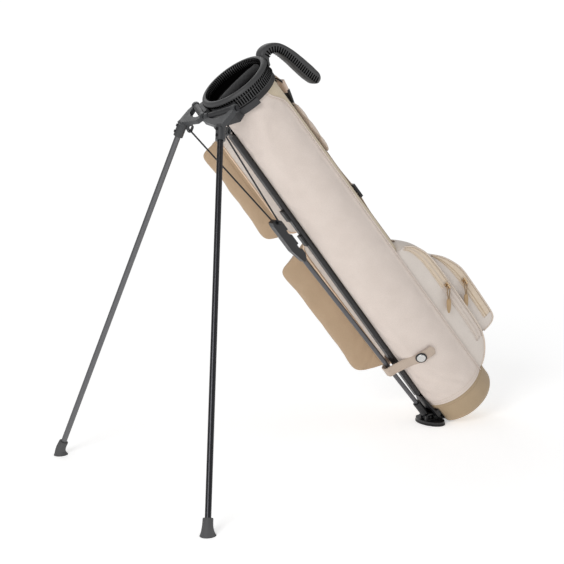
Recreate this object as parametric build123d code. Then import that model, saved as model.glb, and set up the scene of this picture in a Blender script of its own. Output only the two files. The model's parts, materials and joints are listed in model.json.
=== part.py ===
"""Light stand bag for golf clubs: a slim soft tube with a moulded collar, a hook handle,
two folding legs worked by a rocking shoe at the base, side and back pockets and a strap.

Every piece is modelled in the bag's own frame, in millimetres: Z runs up the tube from the
centre of its base, +X points to the back (pockets and strap), -X to the front (legs), and
-Y is the near side.  place() leans the whole bag forward onto its open legs.
"""
from build123d import *
import os
from math import sin, cos, tan, radians, hypot

# ---------------------------------------------------------------- driving dimensions
TILT = 37.0                 # lean of the bag from upright, on its open legs
BAG_LENGTH = 880.0          # base to the top of the collar rim
BASE_RADIUS = 73.0
BASE_EDGE = 16.0            # rounding under the base
TUBE_FOOT_RADIUS = 72.5     # fabric tube at its foot
TUBE_TAPER = 0.01275        # loss of radius per mm of height
FABRIC = 2.5
HEM_Z = 58.0
BAND_FOOT_Z = 841.0
BAND_TOP_Z = 852.0
RIM_RADIUS = 64.0           # centre circle of the rolled rim
RIM_ROLL = 7.0

FRONT_SEAM = 158.0          # seam angles, from the back (+X) round the near side
BACK_SEAM = 42.0

PIVOT_REACH = 84.0          # leg hinge line from the bag's axis
PIVOT_Z = 865.0
PIVOT_TURN = 22.6           # hinge line is turned this far from square across the bag
LEG_FOLD = 55.8             # from spread to lying along the bag
LEG_SLOPE = 34.2            # open leg below the plane of the hinge lines
LEG_OFFSET = 25.2           # leg along its hinge line, from the line's nearest point
TUBE_START = (59.3, -19.0)  # top of the leg tube: out from the hinge line, and up
LEG_REACH = 698.0           # tube top to the ground
LEG_TUBE_RADIUS = 5.6
FOOT_LENGTH = 29.0          # top of the rubber foot to the ground, along the leg
FOOT_DEPTH = 13.0           # end of the tube to the ground, along the leg

FOOT_HINGE = (-62.0, 20.0)  # rocking shoe's hinge, x and z
ROD_X = -90.0               # foot of the push rod
ROD_TOP = (-101.0, 508.0)
ROD_RADIUS = 4.6
ROD_TRAVEL = 21.1
WIRE_RADIUS = 1.6
SHOE_HALF_WIDTH = 40.0
SHOE_MIDDLE = -27.0         # middle of the shoe, along the ground from its hinge
BASE_LIFT = 35.8            # height of the base's centre above the ground
RUN = 0.06                  # radial clearance of a pin in its bore

def tube_radius(z):
    """Outer radius of the fabric tube at height z."""
    return TUBE_FOOT_RADIUS - TUBE_TAPER * z


# ---------------------------------------------------------------- helpers
def place(shape):
    """Lean a piece from the bag's own frame onto the ground."""
    return Pos(0, 0, BASE_LIFT) * Rot(0, -TILT, 0) * shape


def block(x0, x1, y0, y1, z0, z1):
    return Pos((x0 + x1) / 2, (y0 + y1) / 2, (z0 + z1) / 2) * Box(x1 - x0, y1 - y0, z1 - z0)


def rod_between(a, b, radius):
    """Round bar from point a to point b."""
    a, b = Vector(*a), Vector(*b)
    run = b - a
    return Plane(origin=a, z_dir=run) * Cylinder(
        radius, run.length, align=(Align.CENTER, Align.CENTER, Align.MIN))


def y_bar(x, z, radius, y0, y1):
    """Round bar across the bag."""
    return rod_between((x, y0, z), (x, y1, z), radius)


def prism_y(points, y0, y1):
    """Outline in the bag's middle plane, given as (x, z), carried from y0 to y1."""
    face = make_face(Polyline([Vector(x, y0, z) for x, z in points], close=True))
    return extrude(face, amount=y1 - y0, dir=(0, 1, 0))


def prism_z(points, z0, z1):
    """Outline across the bag, given as (x, y), carried from z0 to z1."""
    face = make_face(Polyline([Vector(x, y, z0) for x, y in points], close=True))
    return extrude(face, amount=z1 - z0, dir=(0, 0, 1))


def around(radius, angle, z=0.0):
    """Point at an angle from the back, counted positive round the far side."""
    return Vector(radius * cos(radians(angle)), radius * sin(radians(angle)), z)


def pie(a0, a1, z0, z1, reach=200.0):
    """Slice of space between two angles."""
    steps = max(2, int(abs(a1 - a0) / 30) + 1)
    rim = [around(reach, a0 + (a1 - a0) * i / steps) for i in range(steps + 1)]
    return prism_z([(0, 0)] + [(p.X, p.Y) for p in rim], z0, z1)


def shell(z0, z1, skin=FABRIC, proud=0.0):
    """Tapered round wall whose outside stands proud of the fabric tube."""
    outer = Cone(tube_radius(z0) + proud, tube_radius(z1) + proud, z1 - z0,
                 align=(Align.CENTER, Align.CENTER, Align.MIN))
    inner = Cone(tube_radius(z0) + proud - skin, tube_radius(z1) + proud - skin, z1 - z0,
                 align=(Align.CENTER, Align.CENTER, Align.MIN))
    return Pos(0, 0, z0) * (outer - inner)


def upright_ring(inner, outer, z0, z1):
    """Plain round wall about the bag's axis."""
    foot = (Align.CENTER, Align.CENTER, Align.MIN)
    return Pos(0, 0, z0) * (Cylinder(outer, z1 - z0, align=foot) - Cylinder(inner, z1 - z0, align=foot))


def mirrored(shape):
    """The same piece on the far side."""
    return mirror(shape, about=Plane.XZ)


# ---------------------------------------------------------------- collar
def top_ring():
    """Rolled rim above a wall whose ribs stand in a shallow channel, inside and out."""
    wall = upright_ring(RIM_RADIUS - 4.5, RIM_RADIUS + 4.5, BAND_TOP_Z, BAND_TOP_Z + 21)
    roll = Pos(0, 0, BAG_LENGTH - RIM_ROLL) * Torus(RIM_RADIUS, RIM_ROLL)
    return wall + roll


def collar_band():
    """Plain band under the rim, with a lip that covers the fabric's top edge."""
    return upright_ring(62.2, 68.0, BAND_FOOT_Z, BAND_TOP_Z)


HANDLE_OUTER = [(68.8, 852), (70, 874), (80, 886), (94, 884), (108, 878), (120, 866), (133, 844),
                (141, 818), (147, 787), (152, 762), (150, 752), (143, 748)]
HANDLE_INNER = [(133, 753), (125, 771), (117, 793), (111, 822), (107, 845), (103, 855),
                (96, 861), (87, 863), (78, 857), (76, 852)]
HANDLE_HALF_WIDTH = 13.0


def lift_handle():
    """Open hook that rises from the back of the rim and hangs beside the tube."""
    grip = prism_y(HANDLE_OUTER + HANDLE_INNER, -HANDLE_HALF_WIDTH, HANDLE_HALF_WIDTH)
    root = block(64, 76, -HANDLE_HALF_WIDTH, HANDLE_HALF_WIDTH, 842, 856)
    rim = Pos(0, 0, BAG_LENGTH - RIM_ROLL) * Torus(RIM_RADIUS, RIM_ROLL + 0.1)
    collar = Pos(0, 0, 820) * Cylinder(68.6, 60, align=(Align.CENTER, Align.CENTER, Align.MIN))
    return grip + root - rim - collar


def divider_bar():
    """Padded bar from front to back across the mouth."""
    bar = Cylinder(7.5, 112, rotation=(0, 90, 0))
    return Pos(0, 0, 862) * bar


def divider_panel():
    """Cloth wall that hangs from the bar and parts the clubs."""
    return block(-54, 54, -1, 1, 560, 854)


# ---------------------------------------------------------------- leg hinges
FRONT_ARM = (-30.0, -22.0)   # knuckle arms along the hinge line, near side
BACK_ARM = (38.0, 46.0)
ARM_RADIUS = 8.0
PIN_RADIUS = 3.0


def hinge_bar(radius, s0, s1):
    """Bar on the near hinge line, in the hinge's frame: X out, Y along it to the back, Z up."""
    return rod_between((0, s0, 0), (0, s1, 0), radius)


def on_near_hinge(shape):
    """Carry a piece from the near hinge's frame to the bag's frame."""
    out = Vector(-cos(radians(PIVOT_TURN)), -sin(radians(PIVOT_TURN)), 0)
    up = Vector(0, 0, 1)
    return Plane(origin=out * PIVOT_REACH + up * PIVOT_Z, x_dir=out, z_dir=up) * shape


def leg_bracket():
    """Moulded bracket round the front of the collar, with a barrel for each leg's pin."""
    gap = 0.4
    barrel = hinge_bar(7.0, FRONT_ARM[1] + gap, BACK_ARM[0] - gap)
    web = block(68.2 - PIVOT_REACH - 6, -2, FRONT_ARM[1] + gap + 4, BACK_ARM[0] - gap - 6, -30, 4)
    bore = hinge_bar(PIN_RADIUS + RUN, -60, 60)
    near = on_near_hinge(barrel + web - bore)
    both = near + mirrored(near)
    strap = upright_ring(68.1, 71.5, 837, 850) & pie(100, 260, 837, 850)
    keep_out = Pos(0, 0, 815) * Cylinder(68.1, 42, align=(Align.CENTER, Align.CENTER, Align.MIN))
    rim_room = Pos(0, 0, 850) * Cylinder(71.6, 35, align=(Align.CENTER, Align.CENTER, Align.MIN))
    return both + strap - keep_out - rim_room


def near_leg_pin():
    shank = hinge_bar(PIN_RADIUS, FRONT_ARM[0] - 0.5, BACK_ARM[1] + 1.5)
    head = hinge_bar(5.0, BACK_ARM[1] + 0.4, BACK_ARM[1] + 2.6)
    return on_near_hinge(shank + head)


def leg_point(along):
    """Point on the leg's centre line, measured from the tube's top, in the hinge's frame."""
    return (TUBE_START[0] + along * cos(radians(LEG_SLOPE)), LEG_OFFSET,
            TUBE_START[1] - along * sin(radians(LEG_SLOPE)))


LUG = (36.0, LEG_OFFSET + 0.6, -23.0)   # the wire's rest place in its slotted eye, in the hinge's frame
SLOT_RUN = (-4.5, 3.1)                  # the slot runs this far inwards and up


def lug_slot(radius, half):
    """Round-ended bar whose middle line is the slot for the wire's crank."""
    run = hypot(*SLOT_RUN)
    middle = Vector(LUG[0] + SLOT_RUN[0] / 2, LUG[1] + half, LUG[2] + SLOT_RUN[1] / 2)
    face = Plane(origin=middle, x_dir=(SLOT_RUN[0], 0, SLOT_RUN[1]), z_dir=(0, 1, 0))
    return extrude(face * SlotCenterToCenter(run, 2 * radius), amount=-2 * half)


def near_knuckle():
    """Forked elbow: two arms on the hinge pin, a wide web and a socket for the tube."""
    web = [(3, -30), (3, -22), (12, -12), (19, 6), (16, 28), (3, 38), (3, 46), (17, 45),
           (39, 35), (46, 34.4), (46, 16), (39, 15.6), (15, -27)]
    plate = Rot(0, 5, 0) * extrude(make_face(Polyline([Vector(x, y, -4.5) for x, y in web],
                                                      close=True)), amount=9, dir=(0, 0, 1))
    arms = hinge_bar(ARM_RADIUS, *FRONT_ARM) + hinge_bar(ARM_RADIUS, *BACK_ARM)
    socket = rod_between(leg_point(-27), leg_point(2), 9.2)
    lug = lug_slot(5.6, 4)
    neck = block(LUG[0] - 3, LUG[0] + 5, LUG[1] - 4, LUG[1] + 4, LUG[2] + 3, -7)
    eye = lug_slot(2.5, 9)
    tube_bore = rod_between(leg_point(-18), leg_point(3), LEG_TUBE_RADIUS + 0.02)
    pin_bore = hinge_bar(PIN_RADIUS + RUN, -60, 60)
    room = hinge_bar(7.5, FRONT_ARM[1], BACK_ARM[0])
    body = plate - room + arms + socket + lug + neck - eye - tube_bore - pin_bore
    return on_near_hinge(body)


def near_leg_tube():
    end = LEG_REACH - FOOT_DEPTH
    tube = rod_between(leg_point(-17.5), leg_point(end), LEG_TUBE_RADIUS)
    bore = rod_between(leg_point(-18), leg_point(end + 1), LEG_TUBE_RADIUS - 1)
    return on_near_hinge(tube - bore)


def near_knuckle_screws():
    """Two cross screws that hold the tube in its socket."""
    screws = []
    for along in (-18, -6):
        x, y, z = leg_point(along)
        nx, nz = sin(radians(LEG_SLOPE)), cos(radians(LEG_SLOPE))
        foot, head = ((x + nx * reach, y, z + nz * reach) for reach in (9.3, 10.8))
        screws.append(rod_between(foot, head, 2.6))
    return on_near_hinge(Compound(screws))


def near_foot():
    """Rubber boot, flared where it meets the ground."""
    grip = rod_between(leg_point(LEG_REACH - FOOT_LENGTH), leg_point(LEG_REACH - 10), 8.6)
    socket = rod_between(leg_point(LEG_REACH - FOOT_LENGTH - 1), leg_point(LEG_REACH - FOOT_DEPTH),
                         LEG_TUBE_RADIUS + 0.02)
    return on_near_hinge(grip - socket) + (foot_flare() - on_near_hinge(socket))


def ground_point(shape_point):
    """Point on the near hinge's frame, in the bag's frame."""
    return on_near_hinge(Pos(*shape_point) * Box(0.1, 0.1, 0.1)).center()


def unplace(shape):
    """From the ground's frame back to the bag's frame."""
    return Rot(0, TILT, 0) * Pos(0, 0, -BASE_LIFT) * shape


def foot_flare():
    """Flared skirt of the boot, flat on the ground."""
    tip = place(Pos(*ground_point(leg_point(LEG_REACH - 7))) * Box(0.1, 0.1, 0.1)).center()
    foot = (Align.CENTER, Align.CENTER, Align.MIN)
    skirt = Cylinder(14.5, 2.5, align=foot) + Pos(0, 0, 2.5) * Cone(14.5, 9.0, 7.5, align=foot)
    return unplace(Pos(tip.X, tip.Y, 0) * skirt)


# ---------------------------------------------------------------- stand linkage
JOINER = (-113.0, -93.0, 8.0, 510.0, 618.0)   # x, x, half width, z, z
WIRE_FOOT = (-101.0, 11.5, 611.0)
WIRE_EYE = 3.0              # loose bore of the wire's ring on the joiner's pin


def joiner():
    """Flat plastic block that ties both wires to the push rod, notched towards the bag."""
    x0, x1, half, z0, z1 = JOINER
    outline = [(x0 + 7, z0), (x1 - 6, z0), (x1, z0 + 12), (x1, z1 - 10), (x1 - 8, z1),
               (x0 + 2, z1), (x0, z1 - 8), (x0, z0 + 34)]
    body = prism_y(outline, -half, half)
    for notch_z in (z0 + 24, z0 + 62):
        body -= block(x1 - 4, x1 + 1, -half - 1, half + 1, notch_z, notch_z + 14)
    pin = y_bar(WIRE_FOOT[0], WIRE_FOOT[2], 2.4, -15, 15)
    return body + pin - rod_line(ROD_RADIUS + 0.02, 0.5)


def rod_line(radius, extra=0.0):
    """Bar on the push rod's line, longer by the extra at each end."""
    foot, top = Vector(ROD_X, 0, 62), Vector(ROD_TOP[0] - 0.25, 0, ROD_TOP[1] + 20)
    run = (top - foot).normalized()
    return rod_between(foot - run * extra, top + run * extra, radius)


def push_rod():
    return rod_line(ROD_RADIUS)


def rod_drop():
    """Height of the rod's pin over the shoe's hinge, with the shoe flat on the ground."""
    return (FOOT_HINGE[0] - ROD_X) * tan(radians(TILT))


def rod_end():
    """Sleeve at the rod's foot, with a tongue and a pin that work in the shoe."""
    pin_z = FOOT_HINGE[1] + rod_drop()
    sleeve = rod_between((ROD_X, 0, pin_z + 11), (ROD_X - 0.5, 0, 84), 8.0)
    tongue = block(ROD_X - 5, ROD_X + 5, -5, 5, pin_z, pin_z + 12) + y_bar(ROD_X, pin_z, 5.0, -5, 5)
    pin = y_bar(ROD_X, pin_z, 2.5, -13, 13)
    return sleeve + tongue + pin - rod_line(ROD_RADIUS + 0.02, 0.2)


def near_wire():
    """Stiff wire from the joiner's pin, with a crank that turns in the knuckle's eye."""
    x, y, z = LUG
    top = ground_point((x, y - 7.5, z))
    crank = on_near_hinge(rod_between((x, y - 7.5, z), (x, y + 5.5, z), WIRE_RADIUS)
                          + Pos(x, y - 7.5, z) * Sphere(WIRE_RADIUS))
    foot = Vector(WIRE_FOOT[0], -WIRE_FOOT[1], WIRE_FOOT[2])
    run = (top - foot).normalized()
    ring = (y_bar(WIRE_FOOT[0], WIRE_FOOT[2], 4.2, -13.5, -9.5)
            - y_bar(WIRE_FOOT[0], WIRE_FOOT[2], WIRE_EYE, -15, -8))
    return ring + rod_between(foot + run * 3.4, top, WIRE_RADIUS) + crank


# ---------------------------------------------------------------- body
def near_side_panel():
    return shell(HEM_Z, BAND_FOOT_Z - 0.5) & pie(-FRONT_SEAM, -BACK_SEAM, 0, BAG_LENGTH)


def back_panel():
    return shell(HEM_Z, BAND_FOOT_Z - 0.5) & pie(-BACK_SEAM, BACK_SEAM, 0, BAG_LENGTH)


def front_panel():
    return shell(HEM_Z, BAND_FOOT_Z - 0.5) & pie(FRONT_SEAM, 360 - FRONT_SEAM, 0, BAG_LENGTH)


STAY_ANGLES = (0, 105, -105)


def body_stays():
    """Three fibre rods inside the tube that hold it straight."""
    low, high = 14.0, BAND_TOP_Z - 4
    return Compound([rod_between(around(tube_radius(low) - 9.5, a, low),
                                          around(tube_radius(high) - 5.5, a, high), 2.0)
                              for a in STAY_ANGLES])


RAIL_PROUD = 11.0


def spine_rail():
    """Rounded rail up the front of the tube."""
    low, high = 98.0, 802.0
    ends = []
    for z in (low, high):
        r = tube_radius(z) + 0.4
        ends.append(Plane(origin=(0, 0, z)) * Pos(-r - RAIL_PROUD / 2, 0) * RectangleRounded(
            RAIL_PROUD, 17, 4.5))
    return loft(ends)


def rail_clips():
    """Two clips that guide the joiner along the rail."""
    clips = []
    for z in (528, 592):
        x = -tube_radius(z) - RAIL_PROUD - 0.6
        clips.append(block(x - 4, x, -6, 6, z, z + 26))
    return Compound(clips)


# ---------------------------------------------------------------- base
NOTCH = (-95.0, -52.0, 24.5, -12.0, 50.0)


def base_cup():
    """Boot round the foot of the tube, closed below, with a notch for the shoe's bracket."""
    solid = Cylinder(BASE_RADIUS + 1.5, HEM_Z, align=(Align.CENTER, Align.CENTER, Align.MIN))
    solid = fillet(solid.edges().sort_by(Axis.Z)[0], BASE_EDGE)
    hollow = Pos(0, 0, 4) * Cylinder(BASE_RADIUS - 1.5, HEM_Z,
                                     align=(Align.CENTER, Align.CENTER, Align.MIN))
    hollow = fillet(hollow.edges().sort_by(Axis.Z)[0], BASE_EDGE - 3)
    x0, x1, half, z0, z1 = NOTCH
    return solid - hollow - block(x0, x1, -half, half, z0, z1)


def base_plate():
    """Stiff disc inside the base that the clubs stand on."""
    disc = Pos(0, 0, 6) * Cylinder(53, 5, align=(Align.CENTER, Align.CENTER, Align.MIN))
    return disc - block(-80, -46, -30, 30, 0, 20)


def base_bracket():
    """Black bracket in the notch: lugs for the shoe's pin and a forked leaf that climbs the tube."""
    hx, hz = FOOT_HINGE
    body = block(-54.6, -52.4, -23.5, 23.5, 6, 49)
    for y0, y1 in ((-23.5, -16), (16, 23.5)):
        body += y_bar(hx, hz, 7.0, y0, y1)
        body += block(hx, -53, y0, y1, hz - 5, hz + 20)
        body += block(-77, -53, y0, y1, 34, 49)
    outline = [(-23, 34), (-23, 50), (-17, 72), (-8, 90), (0, 97), (8, 90), (17, 72), (23, 50), (23, 34),
               (14, 34), (14, 56), (-14, 56), (-14, 34)]
    leaf = extrude(make_face(Polyline([Vector(-79.5, y, z) for y, z in outline], close=True)),
                   amount=3.6, dir=(1, 0, 0))
    return body + leaf - y_bar(hx, hz, 2.5 + RUN, -30, 30)


def foot_hinge_pin():
    hx, hz = FOOT_HINGE
    return y_bar(hx, hz, 2.5, -24.2, 24.2)


def shoe_hinge():
    """The shoe's hinge, with the bag standing on the ground."""
    return place(Pos(FOOT_HINGE[0], 0, FOOT_HINGE[1]) * Box(0.1, 0.1, 0.1)).center()


def on_ground(shape):
    """Carry a piece from a level frame under the shoe's hinge, ground at Z = 0, to the bag's frame."""
    return unplace(Pos(shoe_hinge().X, 0, 0) * shape)


def rocker_shoe():
    """Lever that stays flat on the ground and drives the push rod as the bag is tipped."""
    height = shoe_hinge().Z
    arm = hypot(ROD_X - FOOT_HINGE[0], rod_drop())
    pad = Pos(SHOE_MIDDLE, 0, 3.2) * extrude(Ellipse(22, SHOE_HALF_WIDTH), amount=5.0)
    knuckle = rod_between((0, -15.2, height), (0, 15.2, height), 6.6)
    tie = block(-14, 1, -15.2, 15.2, 7.6, height + 2)
    ears = None
    for y0, y1 in ((-12, -6), (6, 12)):
        ear = prism_y([(-arm - 11, 7.8), (-arm - 11, height + 4), (-arm - 5, height + 8),
                       (-arm + 6, height + 8), (-4, height + 3), (-4, 7.8)], y0, y1)
        ears = ear if ears is None else ears + ear
    slot = Pos(0, 0, height) * block(-arm - 5.5, -arm + 11, -30, 30, -4.3, 4.3)
    bore = rod_between((0, -30, height), (0, 30, height), 2.5 + RUN)
    tongue_room = block(-arm - 12, -arm + 13, -5.7, 5.7, 5.6, height + 20)
    body = pad + tie + ears + knuckle - slot - bore - tongue_room
    return on_ground(body)


def shoe_pad():
    """Rubber sole of the shoe."""
    return on_ground(Pos(SHOE_MIDDLE, 0, 0) * extrude(Ellipse(23, SHOE_HALF_WIDTH + 1), amount=3.1))


# ---------------------------------------------------------------- pockets
FAR_UPPER = {"points": [(-38, 55), (-96, 103), (-88, 118), (-40, 133), (8, 137), (24, 128), (34, 64)],
             "low": 527.0, "high": 798.0}
FAR_LOWER = {"points": [(-38, 60), (-107, 116), (-98, 131), (-44, 148), (10, 152), (28, 142), (36, 68)],
             "low": 142.0, "high": 504.0}
FAR_UPPER_SLOPE = 34.0
FAR_LOWER_SLOPE = 40.0


def tube_core(z0, z1, proud=0.25):
    """Solid of the tube's outside, used to keep pockets clear of it."""
    return Pos(0, 0, z0) * Cone(tube_radius(z0) + proud, tube_radius(z1) + proud, z1 - z0,
                                align=(Align.CENTER, Align.CENTER, Align.MIN))


def sloping_cut(edge_z, outer_z, beyond):
    """Everything past a slope that leaves the tube at edge_z and meets the outer wall at outer_z."""
    face = make_face(Polyline([Vector(-150, 60, edge_z), Vector(-150, 175, outer_z),
                               Vector(-150, 175, beyond), Vector(-150, 60, beyond)], close=True))
    return extrude(face, amount=250, dir=(1, 0, 0))


def far_pocket(spec, slope):
    """Deep soft pocket on the far side, its top and bottom sloping to its outer edge."""
    low, high = spec["low"], spec["high"]
    body = prism_z(spec["points"], low, high) - tube_core(low - 5, high + 5)
    return (body - sloping_cut(high + 1, high - slope, high + 20)
            - sloping_cut(low - 4, low + slope * 0.6, low - 20))


BACK_INNER = {"depth": 113.0, "half": 56.0, "low": 63.0, "high": 384.0}
BACK_OUTER = {"depth": 150.0, "half": 44.0, "low": 106.0, "high": 316.0}


def back_inner_pocket():
    """Large back pocket, curved over the top."""
    s = BACK_INNER
    outline = [(30, s["low"]), (92, s["low"]), (s["depth"], s["low"] + 26), (s["depth"], s["high"] - 90),
               (s["depth"] - 12, s["high"] - 34), (90, s["high"] - 6), (60, s["high"]), (30, s["high"])]
    body = prism_y(outline, -s["half"], s["half"]) - tube_core(s["low"] - 5, s["high"] + 5)
    return body & Pos(0, 0, 200) * Box(300, 2 * s["half"], 500)


def back_outer_pocket():
    """Smaller pocket on the face of the large one."""
    s = BACK_OUTER
    x0 = BACK_INNER["depth"] + 0.3
    outline = [(x0, s["low"] + 14), (s["depth"] - 14, s["low"]), (s["depth"], s["low"] + 12),
               (s["depth"], s["high"] - 74), (s["depth"] - 10, s["high"] - 30), (x0, s["high"])]
    return prism_y(outline, -s["half"], s["half"])


ZIP_TAPE = 1.2


def zip_frames():
    """Origin, outward direction and travel of each zip: the slider rests at its closed, upper end."""
    outer_x = BACK_OUTER["depth"] - 14
    return {
        "back_inner": ((92.0, -BACK_INNER["half"], 259.0), (0, -1, 0), 141.0),
        "back_outer": ((outer_x, -BACK_OUTER["half"], 226.0), (0, -1, 0), 90.0),
        "far_upper": ((-16.0, 135.2, 720.0), (-0.083, 0.9965, 0), 150.0),
        "far_lower": ((-16.0, 150.2, 400.0), (-0.074, 0.9973, 0), 200.0),
    }


def zip_plane(name):
    """Plane at the slider's rest place: X across the zip, Y up it, Z out of the pocket."""
    origin, normal, run = zip_frames()[name]
    across = Vector(0, 0, 1).cross(Vector(*normal))
    return Plane(origin=Vector(*origin), x_dir=across, z_dir=Vector(*normal)), run


ZIP_GAP = 0.3                                  # tape's back to the pocket's wall
COIL_FOOT = ZIP_GAP + ZIP_TAPE                 # height of the coil's foot
SLIDER_FOOT = COIL_FOOT + 0.4
PULL_HEIGHT = SLIDER_FOOT + 4.9                # the pull's bar, in the bridge's eye
PULL_BAR = 0.9
PULL_HALF_WIDTH = 3.5
PULL_LENGTH = 32.0


def zip_tape(name):
    """Coil and tape of one zip."""
    plane, run = zip_plane(name)
    tape = Pos(0, -run / 2, ZIP_GAP + ZIP_TAPE / 2) * Box(16, run + 24, ZIP_TAPE)
    coil = Pos(0, -run / 2, COIL_FOOT + 0.5) * Box(4, run + 16, 1.0)
    return plane * (tape + coil)


def zip_slider(name):
    """Slider that straddles the coil, with a bridge for the pull."""
    plane, _ = zip_plane(name)
    body = Pos(0, 0, SLIDER_FOOT + 1.6) * Box(8.4, 13, 3.2)
    room = Pos(0, 0, SLIDER_FOOT + 0.5) * Box(4.8, 14, 1.8)
    bridge = Pos(0, 0, SLIDER_FOOT + 4.9) * (Box(3, 9, 4.6) - Box(4, 5.4, 3.0))
    return plane * (body - room + bridge)


def zip_pull(name):
    """Stirrup whose round bar runs through the slider's bridge, with a cord tab below."""
    plane, _ = zip_plane(name)
    reach = PULL_HALF_WIDTH
    bar = rod_between((-reach, 0, PULL_HEIGHT), (reach, 0, PULL_HEIGHT), PULL_BAR)
    tab = Pos(0, (PULL_BAR - PULL_LENGTH) / 2, PULL_HEIGHT) * Box(2 * reach, PULL_LENGTH + PULL_BAR, 1.6)
    window = Pos(0, -3.2, PULL_HEIGHT) * Box(2 * reach - 2.4, 8.4, 3)
    return plane * (tab - window + bar)


# ---------------------------------------------------------------- straps
LEG_STRAP_Z = (181.0, 201.0)
SNAP_ANGLE = -129.0
STRAP_END_ANGLE = -106


def leg_strap():
    """Webbing loop round the rod and rail, snapped to the near side."""
    r = tube_radius(LEG_STRAP_Z[0]) + 0.7
    near, far = range(STRAP_END_ANGLE, -150, -8), (146, 140, 134)
    inner = ([around(r, a) for a in near] + [Vector(-87.5, -12), Vector(-100.5, -6.2)]
             + [Vector(-100.5, 6.2), Vector(-87.5, 12)] + [around(r, a) for a in far])
    outer = ([around(r + 2.2, a) for a in reversed(far)] + [Vector(-88.8, 14.4), Vector(-103, 7.4)]
             + [Vector(-103, -7.4), Vector(-88.8, -14.4)] + [around(r + 2.2, a) for a in reversed(near)])
    return prism_z([(p.X, p.Y) for p in inner + outer], *LEG_STRAP_Z)


def strap_snap():
    """Press stud through the strap's end."""
    r = tube_radius(LEG_STRAP_Z[0]) + 3.4
    a = around(r, SNAP_ANGLE, sum(LEG_STRAP_Z) / 2)
    b = around(r + 3.6, SNAP_ANGLE, sum(LEG_STRAP_Z) / 2)
    return rod_between(a, b, 8.5)


def strap_on_back(z0, z1, half, proud, thick, y=0.0):
    """Flat strap that lies along the back of the tube."""
    outline = [(tube_radius(z0) + proud, z0), (tube_radius(z0) + proud + thick, z0),
               (tube_radius(z1) + proud + thick, z1), (tube_radius(z1) + proud, z1)]
    return prism_y(outline, y - half, y + half)


def strap_ring():
    """Steel D-ring on the back of the collar."""
    loop = Torus(9.5, 1.8)
    return Pos(tube_radius(812) + 12.5, 0, 811) * Rot(0, 78, 0) * loop


def strap_anchor():
    """Webbing loop that holds the ring to the collar."""
    return block(62.3, 71.6, -9, 9, 824, 841)


def strap_top():
    """Folded webbing below the ring, and the strap's dark end piece."""
    return strap_on_back(768, 798, 12, 4.5, 8)


def strap_pad():
    return strap_on_back(640, 766, 25, 1.0, 9.0)


def strap_tail():
    """Thin webbing from the pad down to the buckle and on to the pockets."""
    return strap_on_back(398, 638.5, 12.5, 1.0, 2.4)


def strap_buckle():
    frame = strap_on_back(520, 552, 16, 3.8, 4.6)
    slots = strap_on_back(526, 532, 12.6, 3, 7) + strap_on_back(540, 546, 12.6, 3, 7)
    return frame - slots


def strap_foot():
    """Stitched loop where the strap's tail meets the tube."""
    return strap_on_back(388, 396.5, 14, 1.0, 6.0)


# ---------------------------------------------------------------- all the pieces
parts = {
    "top_ring": top_ring(), "collar_band": collar_band(), "lift_handle": lift_handle(),
    "divider_bar": divider_bar(), "divider_panel": divider_panel(),
    "leg_bracket": leg_bracket(), "near_side_panel": near_side_panel(),
    "back_panel": back_panel(), "front_panel": front_panel(), "body_stays": body_stays(),
    "spine_rail": spine_rail(), "rail_clips": rail_clips(),
    "base_cup": base_cup(), "base_plate": base_plate(), "base_bracket": base_bracket(),
    "foot_hinge_pin": foot_hinge_pin(), "rocker_shoe": rocker_shoe(), "shoe_pad": shoe_pad(),
    "joiner": joiner(), "push_rod": push_rod(), "rod_end": rod_end(),
    "far_upper_pocket": far_pocket(FAR_UPPER, FAR_UPPER_SLOPE),
    "far_lower_pocket": far_pocket(FAR_LOWER, FAR_LOWER_SLOPE),
    "back_inner_pocket": back_inner_pocket(), "back_outer_pocket": back_outer_pocket(),
    "leg_strap": leg_strap(), "strap_snap": strap_snap(), "strap_ring": strap_ring(),
    "strap_anchor": strap_anchor(), "strap_top": strap_top(), "strap_pad": strap_pad(),
    "strap_tail": strap_tail(), "strap_buckle": strap_buckle(), "strap_foot": strap_foot(),
}
parts["far_side_panel"] = mirrored(parts["near_side_panel"])
for name, build in (("leg_pin", near_leg_pin), ("knuckle", near_knuckle), ("leg_tube", near_leg_tube),
                    ("knuckle_screws", near_knuckle_screws), ("foot", near_foot), ("wire", near_wire)):
    parts["near_" + name] = build()
    parts["far_" + name] = mirrored(parts["near_" + name])
for name in zip_frames():
    parts[name + "_zip"] = zip_tape(name)
    parts[name + "_slider"] = zip_slider(name)
    parts[name + "_pull"] = zip_pull(name)

standing = {name: place(shape) for name, shape in parts.items()}
boxes = [shape.bounding_box() for shape in standing.values()]
CENTRE_X = (min(b.min.X for b in boxes) + max(b.max.X for b in boxes)) / 2
GROUND = min(b.min.Z for b in boxes)

os.makedirs("parts", exist_ok=True)
for name, shape in standing.items():
    export_step(Pos(-CENTRE_X, 0, -GROUND) * shape, f"parts/{name}.step")
print(len(parts), "nodes; centre", round(CENTRE_X, 3), "ground", round(GROUND, 3))
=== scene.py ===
"""Light golf stand bag on two open legs: the soft goods, trims and finishes around its CAD frame.

Sizes are in millimetres in the bag's own frame: X to the back, Y to the far side, Z up the tube
from the middle of its base.  to_frame() carries points from there to the shared frame, in metres.
"""

import json
from math import atan2, cos, hypot, pi, radians, sin

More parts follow.
